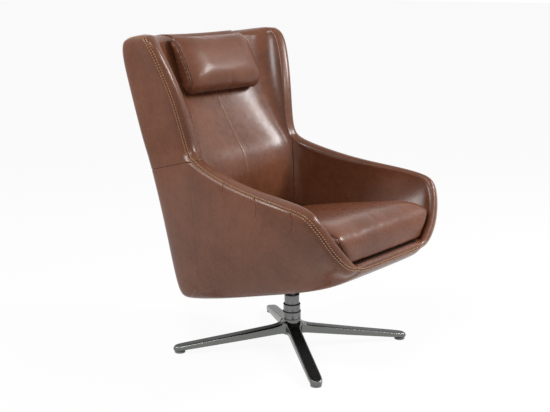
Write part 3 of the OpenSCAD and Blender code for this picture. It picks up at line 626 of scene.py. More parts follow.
def run_length(points, axis):
    """Distance of each grid point from the grid's first edge, measured along the surface."""
    steps = np.linalg.norm(np.diff(points, axis=axis), axis=-1)
    first = np.zeros_like(np.take(steps, [0], axis=axis))
    return np.cumsum(np.concatenate([first, steps], axis), axis)


# the first places of an edge, in metres from its seam
FINE = np.array([0, 0.0001, 0.0005, 0.0012, 0.0022, 0.0035, 0.0055, 0.009])


def places(length, step=0.006):
    """Places from 0 to 1 along an edge, a step apart, and close together at its two seams."""
    ends = FINE / length
    inner = np.linspace(ends[-1], 1 - ends[-1], max(int(length / step), 4))[1:-1]
    return np.concatenate([ends, inner, 1 - ends[::-1]])


# %% [markdown]
# ## Upholstery panels
# The hide is cut into panels that are sewn edge to edge and pulled over the shell. At a seam
# each hide rolls over into the joint, so a panel's edge falls away like a quarter of a circle.
# A panel is thus the shell's own surface, lowered near its sewn edges, with the thickness of the
# hide behind it. Modelling the roll-over as shape, not as bump, lets it catch the lamps.

# %% Panels
HIDE_THICK = 0.0024
SEAM_WIDE, SEAM_DEEP = 0.0042, 0.0020
SIDE_SEAM_DEEP = 0.0008
RIM_S, RIM_T = 0.3, 0.28
WAIST_S, FLOOR_S, SOLE_S, FRONT_S = 5.0, 7.0, 8.0, 13.7
FRONT_SEAM_S = 13.955
WAIST_DEEP = 0.0032
# where the seam of an arm's lining leaves the rim, where the lining starts under it, the column
# of the deck's edge, and the depth of the seam
ARM_SEAM_S, ARM_S, DECK_T, LINING_SEAM_DEEP = 4.36, 4.45, 3.18, 0.003


def roll_over(distance, deep=SEAM_DEEP, wide=SEAM_WIDE):
    """Fall of a hide at a distance from its seam: deep * (1 - sqrt(1 - (1 - distance/wide)^2))."""
    x = 1 - np.clip(distance / wide, 0, 1)
    return deep * (1 - np.sqrt(1 - x * x))


def sewn_surface(s, t, depth, seams, extra=0):
    """Points of a panel: the shell's surface, lowered along the edges that are sewn.
    seams tells for the first row, last row, first column and last column how deep they fall."""
    points = on_shell(s, t, depth)
    outward = grid_normals(points)
    if np.ndim(depth) == 0 and depth < 0.5:
        outward = -outward
    fall = np.zeros(points.shape[:2])
    for axis in (0, 1):
        run = run_length(points, axis)
        back = np.take(run, [-1], axis=axis) - run
        for distance, deep in ((run, seams[2 * axis]), (back, seams[2 * axis + 1])):
            if deep:
                fall = np.maximum(fall, roll_over(distance, deep))
    return points + outward * (extra - fall)[..., None]


def finish_panel(name, points, inside, node, material=shell_leather, hole=None, slot="leather"):
    """A panel with the hide's thickness behind it; inside tells that it faces the sitter."""
    faces = grid_faces(*points.shape[:2])
    if hole is not None:
        faces = faces[~hole.reshape(-1)]
    piece = make_mesh(name, points, faces, flip=inside)
    add_modifier(piece, "SOLIDIFY", thickness=HIDE_THICK, offset=-1)
    return finish_piece(piece, material, "shell", slot, node)


def between(low, high, shares):
    """Grid of values between two edges, with one row for each value of the edges."""
    low, high = np.broadcast_arrays(np.asarray(low, float), np.asarray(high, float))
    return low[:, None] + (high - low)[:, None] * shares[None, :]


def edge_t(s):
    """Column of the stitched seam at each station, on the outside."""
    return np.interp(s, [0, .5, 1.3, 2, 3.3, 4.65, 5, 6.3, 7.4, 8.4, 9.4, 10.7, 12.4, 13.7],
                     [.42, .40, .36, .44, .46, .40, .36, .36, .42, .40, .28, .16, .14, .2])


def side_t(s):
    """Column of the side seam: from the waist it runs down and out to the sole."""
    return np.interp(s, [5, 5.5, 6, 6.5, 7, 7.5, 8, 8.5, 9, 9.6, 11.6, 12.7, 13.7],
                     [.85, 1.2, 1.6, 1.9, 2.1, 2.35, 2.8, 3.1, 3.3, 3.35, 3.35, 2.9, 2.7])


def arm_t(s):
    """Column of the seam between the inner back and an arm: down from the rim to the deck."""
    return np.interp(s, [ARM_SEAM_S, 4.7, 5, 5.35, 5.7, 6.2, 7],
                     [RIM_T, 1.35, 2.28, 2.75, 3.06, DECK_T, DECK_T])


def stations_between(first, last, length):
    """Stations of a panel's rows: length is the panel's run in metres, for their spacing."""
    return first + (last - first) * places(length)


# %% Covers of the back and the sole
def panel_grid(s, low, high, width):
    """Stations and columns of a panel between two seams: width in metres sets the spacing."""
    shares = places(width)
    t = between(low, high, shares)
    return np.broadcast_to(s[:, None], t.shape), t


def in_well(s, t, well_s, well_t):
    """Tells which faces of a grid lie in a rectangle of stations and columns."""
    cell_s, cell_t = (s[1:, 1:] + s[:-1, :-1]) / 2, (t[1:, 1:] + t[:-1, :-1]) / 2
    return ((well_s[0] < cell_s) & (cell_s < well_s[1])
            & (well_t[0] < cell_t) & (cell_t < well_t[1]))


S = SEAM_DEEP
rows_s = stations_between(RIM_S, WAIST_S, 0.46)
s, t = panel_grid(rows_s, edge_t(rows_s), 10 - edge_t(rows_s), 0.78)
finish_panel("upper_back_hide", sewn_surface(s, t, 0, (S, WAIST_DEEP, S, S)), False,
             "upper_back_cover")

rows_s = stations_between(WAIST_S, SOLE_S, 0.46)
s, t = panel_grid(rows_s, side_t(rows_s), 10 - side_t(rows_s), 0.60)
seams = (WAIST_DEEP, 0, SIDE_SEAM_DEEP, SIDE_SEAM_DEEP)
finish_panel("lower_back_hide", sewn_surface(s, t, 0, seams), False, "lower_back_cover")

# the opening in the sole for the swivel
WELL_S, WELL_T = (8.5, 10.3), (3.7, 6.3)
rows_s = np.concatenate([np.linspace(SOLE_S, WELL_S[0], 8)[:-1], np.linspace(*WELL_S, 40),
                         WELL_S[1] + (FRONT_SEAM_S - WELL_S[1]) * places(0.25)[1:]])
across = [between(side_t(rows_s), 0 * rows_s + WELL_T[0], places(0.09)),
          between(0 * rows_s + WELL_T[0], 0 * rows_s + WELL_T[1], np.linspace(0, 1, 44)[1:]),
          between(0 * rows_s + WELL_T[1], 10 - side_t(rows_s), places(0.09)[1:])]
t = np.concatenate(across, 1)
s = np.broadcast_to(rows_s[:, None], t.shape)
finish_panel("sole_hide", sewn_surface(s, t, 0, (0, S, S, S)), False, "underside_cover",
             hole=in_well(s, t, WELL_S, WELL_T))
print("back and sole covered")

# %% [markdown]
# ## Side covers with darts
# Under the arm seam the side cover bulges over a padded shoulder. Three short darts take up the
# spare hide there. The grid's rows are bent so that one row runs along each dart, and the hide
# sinks along that row in a narrow groove that ends softly.

# %% Side covers
# each dart from its upper to its lower end, as (station, column)
DART_ENDS = [((6.45, .45), (6.67, .95)), ((7.51, .48), (8.08, 1.24)), ((8.81, .50), (9.53, 1.15))]
DART_DEEP, DART_WIDE = 0.0028, 0.0015
# lengths in metres of the stretches between the waist, the darts and the front edge
STRETCHES = [0.17, 0.14, 0.15, 0.42]


def dart_station(dart, t):
    """Station of a dart's row at each column: straight between its ends, level beyond them."""
    (s0, t0), (s1, t1) = dart
    return s0 + (s1 - s0) * np.clip((t - t0) / (t1 - t0), 0, 1)


def make_side(name, node, right):
    """A side cover: its rows are spread between the waist, the three darts and the front edge."""
    shares = places(0.55)
    parts = [places(length)[(1 if k else 0):] for k, length in enumerate(STRETCHES)]
    index = np.repeat(np.arange(len(parts)), [len(part) for part in parts])
    along = np.concatenate(parts)[:, None]

    def stations(t):
        lines = [0 * t + WAIST_S] + [dart_station(d, t) for d in DART_ENDS] + [0 * t + FRONT_SEAM_S]
        lines = np.stack(lines)
        every = np.arange(len(index))
        low, high = lines[index, every], lines[index + 1, every]
        return low + (high - low) * along

    t = np.broadcast_to(0.4 + 2.2 * shares, (len(index), len(shares)))
    for _ in range(4):
        s = stations(t)
        t = edge_t(s) + (side_t(s) - edge_t(s)) * shares
    points = sewn_surface(s, t, 0, (WAIST_DEEP, S, S, SIDE_SEAM_DEEP))
    outward = -grid_normals(points)
    groove = np.zeros(points.shape[:2])
    run = run_length(points, 0)
    for k, dart in enumerate(DART_ENDS):
        row = np.flatnonzero(index == k)[-1]
        distance = np.abs(run - run[row][None, :])
        fade = np.clip((dart[1][1] - t) / (dart[1][1] - dart[0][1]), 0, 1) ** 0.6
        groove = np.maximum(groove, fade * DART_DEEP * np.exp(-(distance / DART_WIDE) ** 2))
    points = points - outward * groove[..., None]
    if not right:
        points = points * [-1, 1, 1]
    return finish_panel(name, points, not right, node)


make_side("right_side_hide", "right_side_cover", True)
make_side("left_side_hide", "left_side_cover", False)
print("sides covered, with", len(DART_ENDS), "darts each")

# %% [markdown]
# ## Linings of the inside
# The inner back is one wide panel with a thin seam down its middle, stitched with pale thread
# that shows as a fine line under the headrest. The stitching is real, and its pale line also
# stands in for the highlight along the seam's edge, a painted highlight. At the waist a seam
# drops from the rim to the deck on each side, where the arm's own lining begins. The roll of the
# rim runs into the linings with no seam.

# %% Inner back
MID_SEAM_DEEP, MID_SEAM_WIDE = 0.0011, 0.0018
rows_s = stations_between(RIM_S, FLOOR_S, 0.85)
low = np.where(rows_s < ARM_SEAM_S, RIM_T, np.maximum(arm_t(rows_s), RIM_T))
half_shares = places(0.33)
t = np.concatenate([between(low, 0 * low + 5, half_shares),
                    between(0 * low + 5, 10 - low, half_shares[1:])], 1)
s = np.broadcast_to(rows_s[:, None], t.shape)
points = on_shell(s, t, 1)
outward = grid_normals(points)
across = run_length(points, 1)
width = across[:, -1:]
sewn = np.clip((rows_s - ARM_SEAM_S) / 0.1, 0, 1)[:, None]
fall = sewn * np.maximum(roll_over(across, LINING_SEAM_DEEP),
                         roll_over(width - across, LINING_SEAM_DEEP))
middle_seam = np.clip((5.4 - rows_s) / 0.5, 0.15, 1)[:, None]
fall = fall + middle_seam * MID_SEAM_DEEP * np.exp(-((across - width / 2) / MID_SEAM_WIDE) ** 2)
finish_panel("inner_back_hide", points - outward * fall[..., None], True, "inner_back_lining")

# %% Arm linings and deck
rows_s = stations_between(ARM_S, FRONT_S, 1.1)
for side in (1, -1):
    s, t = panel_grid(rows_s, 0 * rows_s + RIM_T, arm_t(rows_s), 0.42)
    points = sewn_surface(s, t, 1, (0, 0, 0, LINING_SEAM_DEEP))
    name = "right" if side > 0 else "left"
    finish_panel(name + "_arm_hide", points * [side, 1, 1], side > 0, name + "_arm_lining")

DECK_COVER_T = (3.1, 6.9)
rows_s = FLOOR_S + (FRONT_S - FLOOR_S) * np.linspace(0, 1, 70)
s, t = panel_grid(rows_s, 0 * rows_s + DECK_COVER_T[0], 0 * rows_s + DECK_COVER_T[1], 0.5)
finish_panel("deck_cover", on_shell(s, t, 1), True, "seat_deck", deck_cloth, slot="dark_cloth")
print("inside lined")

# %% [markdown]
# ## The rim roll
# A padded roll runs all the way round the shell's edge, in an upper length over the back and
# wings and a lower length along the arms and the front. It could be a tube along a path, but the
# rim changes width and lean all the way, so the roll is cut from the same surface: each cross
# row starts at the outer seam, passes over the crest and ends flush with the lining. The rows are
# close together at the crest, because the distance from it grows with the square of their place.

# %% Rim roll
INNER_END = 1.02
# how the roll dives under the lining at its last rows, and how its two ends fall away
UNDER_FROM, UNDER_RUN, UNDER_DEEP = 0.985, 0.035, 0.0012
END_DEEP, END_WIDE = 0.0012, 0.003


def rim_lines(legs, share, outside):
    """Stations and columns of a line round the rim, a share of the way from crest to seam.
    legs names the stretches of the rim in their order, each with its count of points."""
    s_parts, t_parts = [], []
    for k, (leg, count) in enumerate(legs):
        x = np.linspace(0, 1, count)[(1 if k else 0):]
        if leg in ("top", "front"):
            s_end = RIM_S if leg == "top" else (FRONT_SEAM_S if outside else FRONT_S) - LAST
            station = share * s_end + (0 if leg == "top" else LAST)
            corner = edge_t(RIM_S if leg == "top" else FRONT_SEAM_S) if outside else RIM_T
            t = share * corner + (ACROSS - 2 * share * corner) * x
            s = station + 0 * t
        else:
            low = LAST - (LAST - FRONT_SEAM_S if outside else RIM_S) * share
            first, last = {"up": (WAIST_S, RIM_S * share), "down": (RIM_S * share, WAIST_S),
                           "arm_down": (WAIST_S, low), "arm_up": (low, WAIST_S)}[leg]
            s = first + (last - first) * x
            t = share * (edge_t(s) if outside else RIM_T + 0 * s)
            if k == 2:
                t = ACROSS - t
        s_parts.append(s)
        t_parts.append(t)
    return np.concatenate(s_parts), np.concatenate(t_parts)


UPPER_LEGS = (("up", 90), ("top", 120), ("down", 90))
LOWER_LEGS = (("arm_down", 170), ("front", 90), ("arm_up", 170))
ROLL_PLACES = np.concatenate([-np.sqrt(np.linspace(1, 0.9, 8)), np.linspace(-0.93, 0.93, 23),
                              np.sqrt(np.linspace(0.92, INNER_END, 4))])


def make_roll(name, node, legs):
    """The roll's grid: its rows cross the rim from the outer seam to the lining."""
    lines = [(*rim_lines(legs, q * q, q < 0), float(q > 0)) for q in ROLL_PLACES]
    points = np.stack([on_shell(s, t, depth) for s, t, depth in lines])
    outward = grid_normals(points)
    across = run_length(points, 0)
    along = run_length(points, 1)
    ends = np.minimum(along, along[:, -1:] - along)
    fall = np.maximum(roll_over(across, SEAM_DEEP), roll_over(ends, END_DEEP, END_WIDE))
    under = np.clip((ROLL_PLACES ** 2 - UNDER_FROM) / UNDER_RUN, 0, 1)[:, None]
    under = under * (ROLL_PLACES > 0)[:, None]
    fall = fall + under * UNDER_DEEP
    through_wall = on_shell(*lines[0][:2], 0) - on_shell(*lines[0][:2], 1)
    sign = np.sign(np.sum(outward[0] * through_wall, -1).mean())
    points = points - sign * outward * fall[..., None]
    piece = make_mesh(name, points, grid_faces(*points.shape[:2]), flip=sign > 0)
    add_modifier(piece, "SOLIDIFY", thickness=HIDE_THICK, offset=-1)
    return finish_piece(piece, shell_leather, "shell", "leather", node)


make_roll("upper_roll_hide", "upper_rim_roll", UPPER_LEGS)
make_roll("lower_roll_hide", "lower_rim_roll", LOWER_LEGS)
print("rim rolls made of", len(ROLL_PLACES), "rows each")


# %% [markdown]
# ## Plywood and foam
# Behind the hide, the real shell is moulded plywood with foam on it, and a bent strip stiffens its
# rim. None of it shows in the finished chair, so each is a plain sheet at its own depth of the
# wall, cut from the same surface, and it stands for its solid where a panel's seam lets it be seen.

# %% Stiff layers
CORE_S, CORE_T, CORE_THICK = (0.7, 13.2), (0.9, 9.1), 0.004
CORE_WELL_S, CORE_WELL_T = (8.3, 10.5), (3.5, 6.5)


def make_core(name, node, depth, with_well, material, slot):
    """The stiff layer behind one face: a sheet at one depth of the wall."""
    rows_s, columns_t = np.linspace(*CORE_S, 130), np.linspace(*CORE_T, 100)
    t, s = np.meshgrid(columns_t, rows_s)
    faces = grid_faces(*t.shape)
    if with_well:
        faces = faces[~in_well(s, t, CORE_WELL_S, CORE_WELL_T).reshape(-1)]
    core = make_mesh(name, on_shell(s, t, depth), faces)
    add_modifier(core, "SOLIDIFY", thickness=CORE_THICK, offset=0)
    finish_piece(core, material, "shell", slot, node)


make_core("outer_shell_sheet", "outer_shell", 0.14, True, plywood, "plywood")
make_core("inner_shell_sheet", "inner_shell", 0.86, False, foam, "foam_shell")

# the bent frame under the roll is a closed strip through the middle of the wall: its four corners,
# each a share of the way from crest to seam, and a depth
FRAME_CORNERS = [(1.6, .38), (2.4, .38), (2.4, .62), (1.6, .62)]
corner_lines = []
for share, depth in FRAME_CORNERS:
    upper, lower = rim_lines(UPPER_LEGS, share, False), rim_lines(LOWER_LEGS, share, False)
    loop = [np.concatenate([a, b[::-1][1:-1]]) for a, b in zip(upper, lower)]
    corner_lines.append(on_shell(*loop, depth))
strip = np.stack(corner_lines)
strip_middle = strip.mean(0)
turning = np.cross(strip[1] - strip[0], strip[3] - strip[0])
along = np.roll(strip_middle, -1, 0) - np.roll(strip_middle, 1, 0)
strip_frame = make_mesh("rim_frame_strip", strip, grid_faces(*strip.shape[:2], True, True),
                        flip=np.sum(turning * along) > 0)
finish_piece(strip_frame, plywood, "shell", "plywood", "rim_frame")
print("stiff layers made, with a frame of", strip.shape[1], "places")

# %% [markdown]
# ## Stitches
# A double row of tan thread follows the outer seam of the roll. Each stitch is a short capsule
# that dips into the hide at both ends. All stitches of a row are one mesh: a small template of
# rings is copied to every place at once, turned into the frame of tangent, side and normal.

# %% Stitches
# a capsule's rings along its length, how much its ends taper, and how deep they dip
STITCH_RINGS, END_TAPER, END_DIP = [-1, -0.72, 0, 0.72, 1], 0.93, -0.5


def seam_frames(s, t, depth, pitch, aside=0.0, lift=0.0):
    """Even places along a line of the shell with their tangents, sides and outward normals."""
    step = 0.01
    points = on_shell(s, t, depth)
    over = 1 if depth < 0.5 else -1
    normals = over * np.cross(on_shell(s, t + step, depth) - on_shell(s, t - step, depth),
                              on_shell(s + step, t, depth) - on_shell(s - step, t, depth))
    normals /= np.linalg.norm(normals, axis=1, keepdims=True)
    run = run_length(points, 0)
    count = int(run[-1] / pitch)
    at = (np.arange(count) + 0.5) * run[-1] / count
    sample = lambda values: np.stack([np.interp(at, run, values[:, k]) for k in range(3)], 1)
    tangents = sample(np.gradient(points, axis=0))
    tangents /= np.linalg.norm(tangents, axis=1, keepdims=True)
    normals = sample(normals)
    sides = np.cross(normals, tangents)
    sides /= np.linalg.norm(sides, axis=1, keepdims=True)
    return sample(points) + sides * aside + normals * lift, tangents, sides, normals


def stitch_points(frames, length, thick, slant=0.0):
    """Capsules: rings of radius thick / 2 * sqrt(1 - END_TAPER * x^4) at x from -1 to 1."""
    points, tangents, sides, normals = frames
    x = np.array(STITCH_RINGS)
    angle = np.arange(6) * pi / 3
    radius = thick / 2 * np.sqrt(1 - END_TAPER * x ** 4)
    along = tangents * np.cos(slant) + sides * np.sin(slant)
    aside = np.cross(normals, along)
    ring = (radius[:, None, None] * (np.cos(angle)[:, None] * aside[:, None, None]
                                     + np.sin(angle)[:, None] * normals[:, None, None]))
    dip = END_DIP * thick * x ** 4
    middle = (points[:, None] + along[:, None] * (x * length / 2)[:, None]
              + normals[:, None] * dip[:, None])
    return middle[:, :, None] + ring


def make_stitches(name, rows, length, thick, slant=0.0):
    """One mesh for several rows of stitches."""
    grids = np.concatenate([stitch_points(frames, length, thick, slant) for frames in rows])
    count, rings, sides = grids.shape[:3]
    one = grid_faces(rings, sides, wrap_columns=True)
    faces = (np.arange(count)[:, None, None] * rings * sides + one).reshape(-1, 4)
    caps = np.array([[0, 1, 2, 3], [0, 3, 4, 5]])
    low = np.arange(count)[:, None, None] * rings * sides + caps[:, ::-1]
    high = np.arange(count)[:, None, None] * rings * sides + (rings - 1) * sides + caps
    faces = np.concatenate([faces, low.reshape(-1, 4), high.reshape(-1, 4)])
    finish_piece(make_mesh(name, grids, faces), thread, "shell", "leather")


ROW_ASIDE, ROW_PITCH, ROW_LIFT, ROW_SLANT = 0.0040, 0.0088, 0.0003, radians(28)
MIDDLE_PITCH, MIDDLE_LIFT = 0.0052, 0.0002
for name, legs in (("upper", UPPER_LEGS), ("lower", LOWER_LEGS)):
    s, t = rim_lines(legs, 1.0, True)
    rows = [seam_frames(s, t, 0, ROW_PITCH, aside, ROW_LIFT) for aside in (-ROW_ASIDE, ROW_ASIDE)]
    make_stitches(name + "_rim_stitches", rows, 0.0052, 0.0019, ROW_SLANT)
    print(name, "rim:", sum(len(row[0]) for row in rows), "stitches")

# the middle seam's pale stitches are real stitching, and their pale line also stands in for the
# highlight along the seam's edge, a painted highlight
s = np.linspace(0.9, 5.2, 120)
middle_row = seam_frames(s, 5 + 0 * s, 1, MIDDLE_PITCH, 0.0, MIDDLE_LIFT)
make_stitches("middle_seam_stitches_painted_highlight", [middle_row], 0.0050, 0.0012)
print("middle seam:", len(middle_row[0]), "stitches")

# %% [markdown]
# ## Soft pieces
# The seat cushion and the headrest pillow are sewn covers over foam. Their shapes start as
# rounded outlines stacked along a profile. Each is then filled like the real one: the cover is
# remeshed evenly and blown up a little as cloth, which gives it slack, natural faces. Moves are
# capped, and the result may stand out from its first shape only so far as its place allows.

# %% Cushion helpers
# the cloth that fills a cover: its weight, the pressure in it, and for how many frames it moves
CLOTH_MASS, PRESSURE, FILL_FRAMES = 0.3, 4, 20
TUBE_SIDES = 8


def smooth_table(table, count):
    """Passes a cubic curve through the rows of a table, with count rows in the result."""
    table = np.asarray(table, float)
    control = sharpen(table, 0)
    first, weights = spline_weights(np.linspace(0, len(table) - 1, count), len(control))
    return np.einsum("ij,ijk->ik", weights, control[first])


def rounded_rectangle(width, depth, radius, count):
    """Even places round a rectangle whose corners are quarter circles."""
    corner = np.linspace(0, pi / 2, 14)
    x0, y0 = width / 2 - radius, depth / 2 - radius
    parts = [np.stack([sx * x0 + radius * np.cos(corner + k * pi / 2),
                       sy * y0 + radius * np.sin(corner + k * pi / 2)], 1)
             for k, (sx, sy) in enumerate([(1, 1), (-1, 1), (-1, -1), (1, -1)])]
    loop = np.concatenate(parts + [parts[0][:1]])
    run = run_length(loop, 0)
    at = np.linspace(0, run[-1], count, endpoint=False)
    return np.stack([np.interp(at, run, loop[:, k]) for k in range(2)], 1)


def turn_outwards(mesh):
    """Points every face of a closed mesh outwards."""
    shape = bmesh.new()
    shape.from_mesh(mesh)
    bmesh.ops.recalc_face_normals(shape, faces=shape.faces)
    if shape.calc_volume(signed=True) < 0:
        bmesh.ops.reverse_faces(shape, faces=shape.faces)
    shape.to_mesh(mesh)
    shape.free()


def closed_form(name, rings):
    """A closed mesh through rings, with a point at each end; its faces are turned outwards."""
    count, around = rings.shape[:2]
    points = np.concatenate([rings.reshape(-1, 3), rings[0].mean(0)[None], rings[-1].mean(0)[None]])
    faces = grid_faces(count, around, wrap_columns=True).tolist()
    ring = np.arange(around)
    edges = np.stack([ring, (ring + 1) % around], 1).tolist()
    last = (count - 1) * around
    faces += [(count * around, b, a) for a, b in edges]
    faces += [(count * around + 1, last + a, last + b) for a, b in edges]
    mesh = bpy.data.meshes.new(name)
    mesh.from_pydata(points.tolist(), [], faces)
    turn_outwards(mesh)
    mesh.shade_smooth()
    piece = bpy.data.objects.new(name, mesh)
    bpy.context.scene.collection.objects.link(piece)
    return piece


def get_points(piece, kind="co"):
    """One row for each point of a piece: its place ("co") or its normal ("normal")."""
    values = np.empty(len(piece.data.vertices) * 3, np.float32)
    piece.data.vertices.foreach_get(kind, values)
    return values.reshape(-1, 3).astype(float)


def set_points(piece, points):
    """Moves the points of a piece to new places."""
    piece.data.vertices.foreach_set("co", points.astype(np.float32).ravel())
    piece.data.update()


def tree_of(piece):
    """A search tree of a piece's faces, for rays and nearest points."""
    shape = bmesh.new()
    shape.from_mesh(piece.data)
    tree = BVHTree.FromBMesh(shape)
    shape.free()
    return tree


def fill(piece, voxel, start_in, cap, proud, kept, even):
    """Blows a cover up as cloth. It starts start_in smaller, moves at most cap, and stands at
    most proud outside its first shape. kept gives for each point how much of these moves it
    makes, and even is how many rounds of smoothing follow."""
    first_shape = tree_of(piece)
    add_modifier(piece, "REMESH", mode="VOXEL", voxel_size=voxel)
    apply_modifiers(piece)
    add_modifier(piece, "SMOOTH", factor=0.5, iterations=4)
    apply_modifiers(piece)
    plain = get_points(piece)
    start = plain - get_points(piece, "normal") * start_in * kept(plain)[:, None]
    set_points(piece, start)
    cloth = piece.modifiers.new("fill", "CLOTH")
    cloth.settings.quality = 4
    cloth.settings.mass = CLOTH_MASS
    cloth.settings.use_pressure = True
    cloth.settings.uniform_pressure_force = PRESSURE
    cloth.settings.effector_weights.gravity = 0
    cloth.collision_settings.use_collision = False
    cloth.point_cache.frame_end = FILL_FRAMES
    scene = bpy.context.scene
    for frame_number in range(1, FILL_FRAMES + 1):
        scene.frame_set(frame_number)
    apply_modifiers(piece)
    scene.frame_set(1)
    moved = get_points(piece) - start
    length = np.linalg.norm(moved, axis=1, keepdims=True)
    moved *= np.minimum(cap / np.maximum(length, TINY), 1) * kept(start)[:, None]
    points = start + moved
    near = [first_shape.find_nearest(Vector(point)) for point in points]
    foot = np.array([hit[0] for hit in near])
    outward = np.array([hit[1] for hit in near])
    height = np.sum((points - foot) * outward, 1)
    limit = proud(points)
    points -= outward * np.maximum(height - limit, 0)[:, None]
    set_points(piece, points)
    add_modifier(piece, "SMOOTH", factor=0.5, iterations=even)
    add_modifier(piece, "SUBSURF", levels=1, render_levels=1)
    apply_modifiers(piece)
    print(piece.name, "filled:", len(piece.data.polygons), "faces, largest move",
          round(float(np.linalg.norm(moved, axis=1).max()) * 1000, 1), "mm")


def cast(tree, origins, directions):
    """Points and normals where rays from inside a piece meet its cover."""
    hits = [tree.ray_cast(Vector(o), Vector(d)) for o, d in zip(origins, directions)]
    hits = [hit for hit in hits if hit[0] is not None]
    return np.array([hit[0] for hit in hits]), np.array([hit[1] for hit in hits])


PRESS_REACH, AT_ONCE = 0.06, 4000


def press_line(piece, line, deep, wide, gather):
    """Sinks the cover along a line by deep * exp(-(distance / wide)^2). gather adds folds that
    run from the line: (height, spacing, reach, which points take them). Only points within
    PRESS_REACH of the line are looked at, AT_ONCE of them together."""
    points, normals = get_points(piece), get_points(piece, "normal")
    run = run_length(line, 0)
    near = np.full(len(points), 1e9)
    place_on = np.zeros(len(points))
    close = np.flatnonzero(np.all((points > line.min(0) - PRESS_REACH)
                                  & (points < line.max(0) + PRESS_REACH), 1))
    for part in np.array_split(close, max(len(close) // AT_ONCE, 1)):
        gap = np.linalg.norm(points[part, None] - line[None], axis=2)
        near[part] = gap.min(1)
        place_on[part] = run[gap.argmin(1)]
    move = -deep * np.exp(-(near / wide) ** 2)
    height, spacing, reach, takes = gather
    wave = np.sin(2 * pi * place_on / spacing + 1.7 * np.sin(place_on / spacing * 1.3))
    move += (height * wave * np.exp(-near / reach) * (1 - np.exp(-(near / wide) ** 2))
             * takes(points))
    set_points(piece, points + normals * move[:, None])


def make_tube(name, line, radius, closed=False):
    """A round tube along a line of points: its rings stand square to the line."""
    if closed:
        along = np.roll(line, -1, 0) - np.roll(line, 1, 0)
    else:
        along = np.gradient(line, axis=0)
    along /= np.linalg.norm(along, axis=1, keepdims=True)
    middle = line.mean(0)
    aside = np.cross(along, line - middle)
    aside /= np.maximum(np.linalg.norm(aside, axis=1, keepdims=True), TINY)
    third = np.cross(along, aside)
    angle = np.arange(TUBE_SIDES) * 2 * pi / TUBE_SIDES
    ring = np.cos(angle)[:, None] * aside[:, None] + np.sin(angle)[:, None] * third[:, None]
    rings = line[:, None] + ring * radius
    if closed:
        return make_mesh(name, rings, grid_faces(*rings.shape[:2], True, True), flip=True)
    return closed_form(name, rings)


def smooth_line(line, rounds=6):
    """Evens a line out: each point moves halfway to the middle of its neighbours."""
    for _ in range(rounds):
        line = line.copy()
        line[1:-1] = (line[:-2] + 2 * line[1:-1] + line[2:]) / 4
    return line


# %% [markdown]
# ## Seat cushion
# The seat is a loose boxed cushion, wider at the front where the arms spread, with a crown on top
# and a nose that slumps over the front edge. A cube with a cloth simulation would give a pillow
# with no edge, so the outline and the profile of its rows set the form, and the filling only
# softens it. A corded seam runs along each side and down the front.

# %% Seat cushion
FRONT_SHARE, SIDE_TUCK, REAR_PLAY = 0.440, 0.018, 0.009
CUSHION_W = 2 * (SHELL_W / 2 * inner_shares[0][10] + SIDE_TUCK)
CUSHION_FRONT = AXIS_Y - FRONT_SHARE * SHELL_D
CUSHION_D = SHELL_D * (inner_shares[1][6] + FRONT_SHARE) - REAR_PLAY
CUSHION_MIDDLE_Y = CUSHION_FRONT + CUSHION_D / 2
BAND, CROWN, SAG, LIFT = 0.080, 0.026, 0.012, 0.0021
HALF_BAND = BAND / 2
DECK_Z = SHELL_LOW + (SHELL_TOP - SHELL_LOW) * inner_shares[2][10]
CUSHION_Z = DECK_Z + LIFT + SAG + BAND / 2
TOP_RISE, SOLE_RISE = 0.082, 0.036
CORNER_R, SOLE_NARROW, SOLE_FRONT_NARROW, SLUMP_SPREAD = 0.026, 0.14, 0.07, 0.55

# rows: distance from the middle, height, how far it belongs to the sole, pull between corners,
# and at the front how far it falls and how far it comes forward
CUSHION_ROWS = (
    [(s0, HALF_BAND + CROWN * s1, 0, 0, s2, s3) for s0, s1, s2, s3 in
     [(.02, 1, 0, 0), (.12, 1, 0, 0), (.36, .97, 0, 0), (.57, .88, 0, 0), (.73, .73, .001, .001),
      (.84, .52, .004, .003), (.92, .24, .009, .005), (.97, -.10, .015, .007),
      (.995, -.6, .018, .009)]]
    + [(1, HALF_BAND - BAND * x, x, 0.005 * sin(pi * x), fall, ahead) for x, fall, ahead in
       ((.25, .020, .012), (.5, .016, .013), (.75, .011, .009), (1, .006, 0))]
    + [(s0, -HALF_BAND - SAG * s1, 1, 0, 0, -.004) for s0, s1 in
       [(.93, .30), (.80, .75), (.55, .95), (.20, 1), (.02, 1)]])


def width_at(v):
    """Share of the cushion's width at v, which runs from -1 at the front to 1 at the rear."""
    rear = np.maximum(v, 0)
    return 1.062 - 0.07 * rear - 0.102 * rear ** 3


def cushion_rings(count, around):
    """Rings of the cushion: an outline scaled by each row, narrower to the rear and the sole."""
    rows = smooth_table(CUSHION_ROWS, count)[:, :, None].transpose(1, 0, 2)
    out, height, sole, pull, fall, ahead = rows
    outline = rounded_rectangle(CUSHION_W, CUSHION_D, CORNER_R, around)
    u, v = outline[:, 0] / (CUSHION_W / 2), outline[:, 1] / (CUSHION_D / 2)
    front = np.maximum(-v, 0)
    sole = np.clip(sole, 0, 1)
    narrow = width_at(v) * (1 - sole * (SOLE_NARROW + SOLE_FRONT_NARROW * front ** 4))
    x = outline[:, 0] * out * narrow - pull * u * (1 - v * v)
    y = CUSHION_MIDDLE_Y + outline[:, 1] * out - ahead * front ** 2
    rise = TOP_RISE + (SOLE_RISE - TOP_RISE) * sole
    slump = fall * front ** 3 * (1 - SLUMP_SPREAD * u ** 4)
    z = CUSHION_Z + height - rise / 2 * v * out - slump
    return np.stack(np.broadcast_arrays(x, y, z), -1)


cushion = closed_form("seat_cushion_cover", cushion_rings(48, 150))
sole_slope = -SOLE_RISE / CUSHION_D


def above_sole(points):
    """Share of the move that a point keeps: none on the sole, all of it 25 mm higher."""
    level = CUSHION_Z - HALF_BAND - SAG + (points[:, 1] - CUSHION_MIDDLE_Y) * sole_slope
    return np.clip((points[:, 2] - level - 0.004) / 0.025, 0, 1)


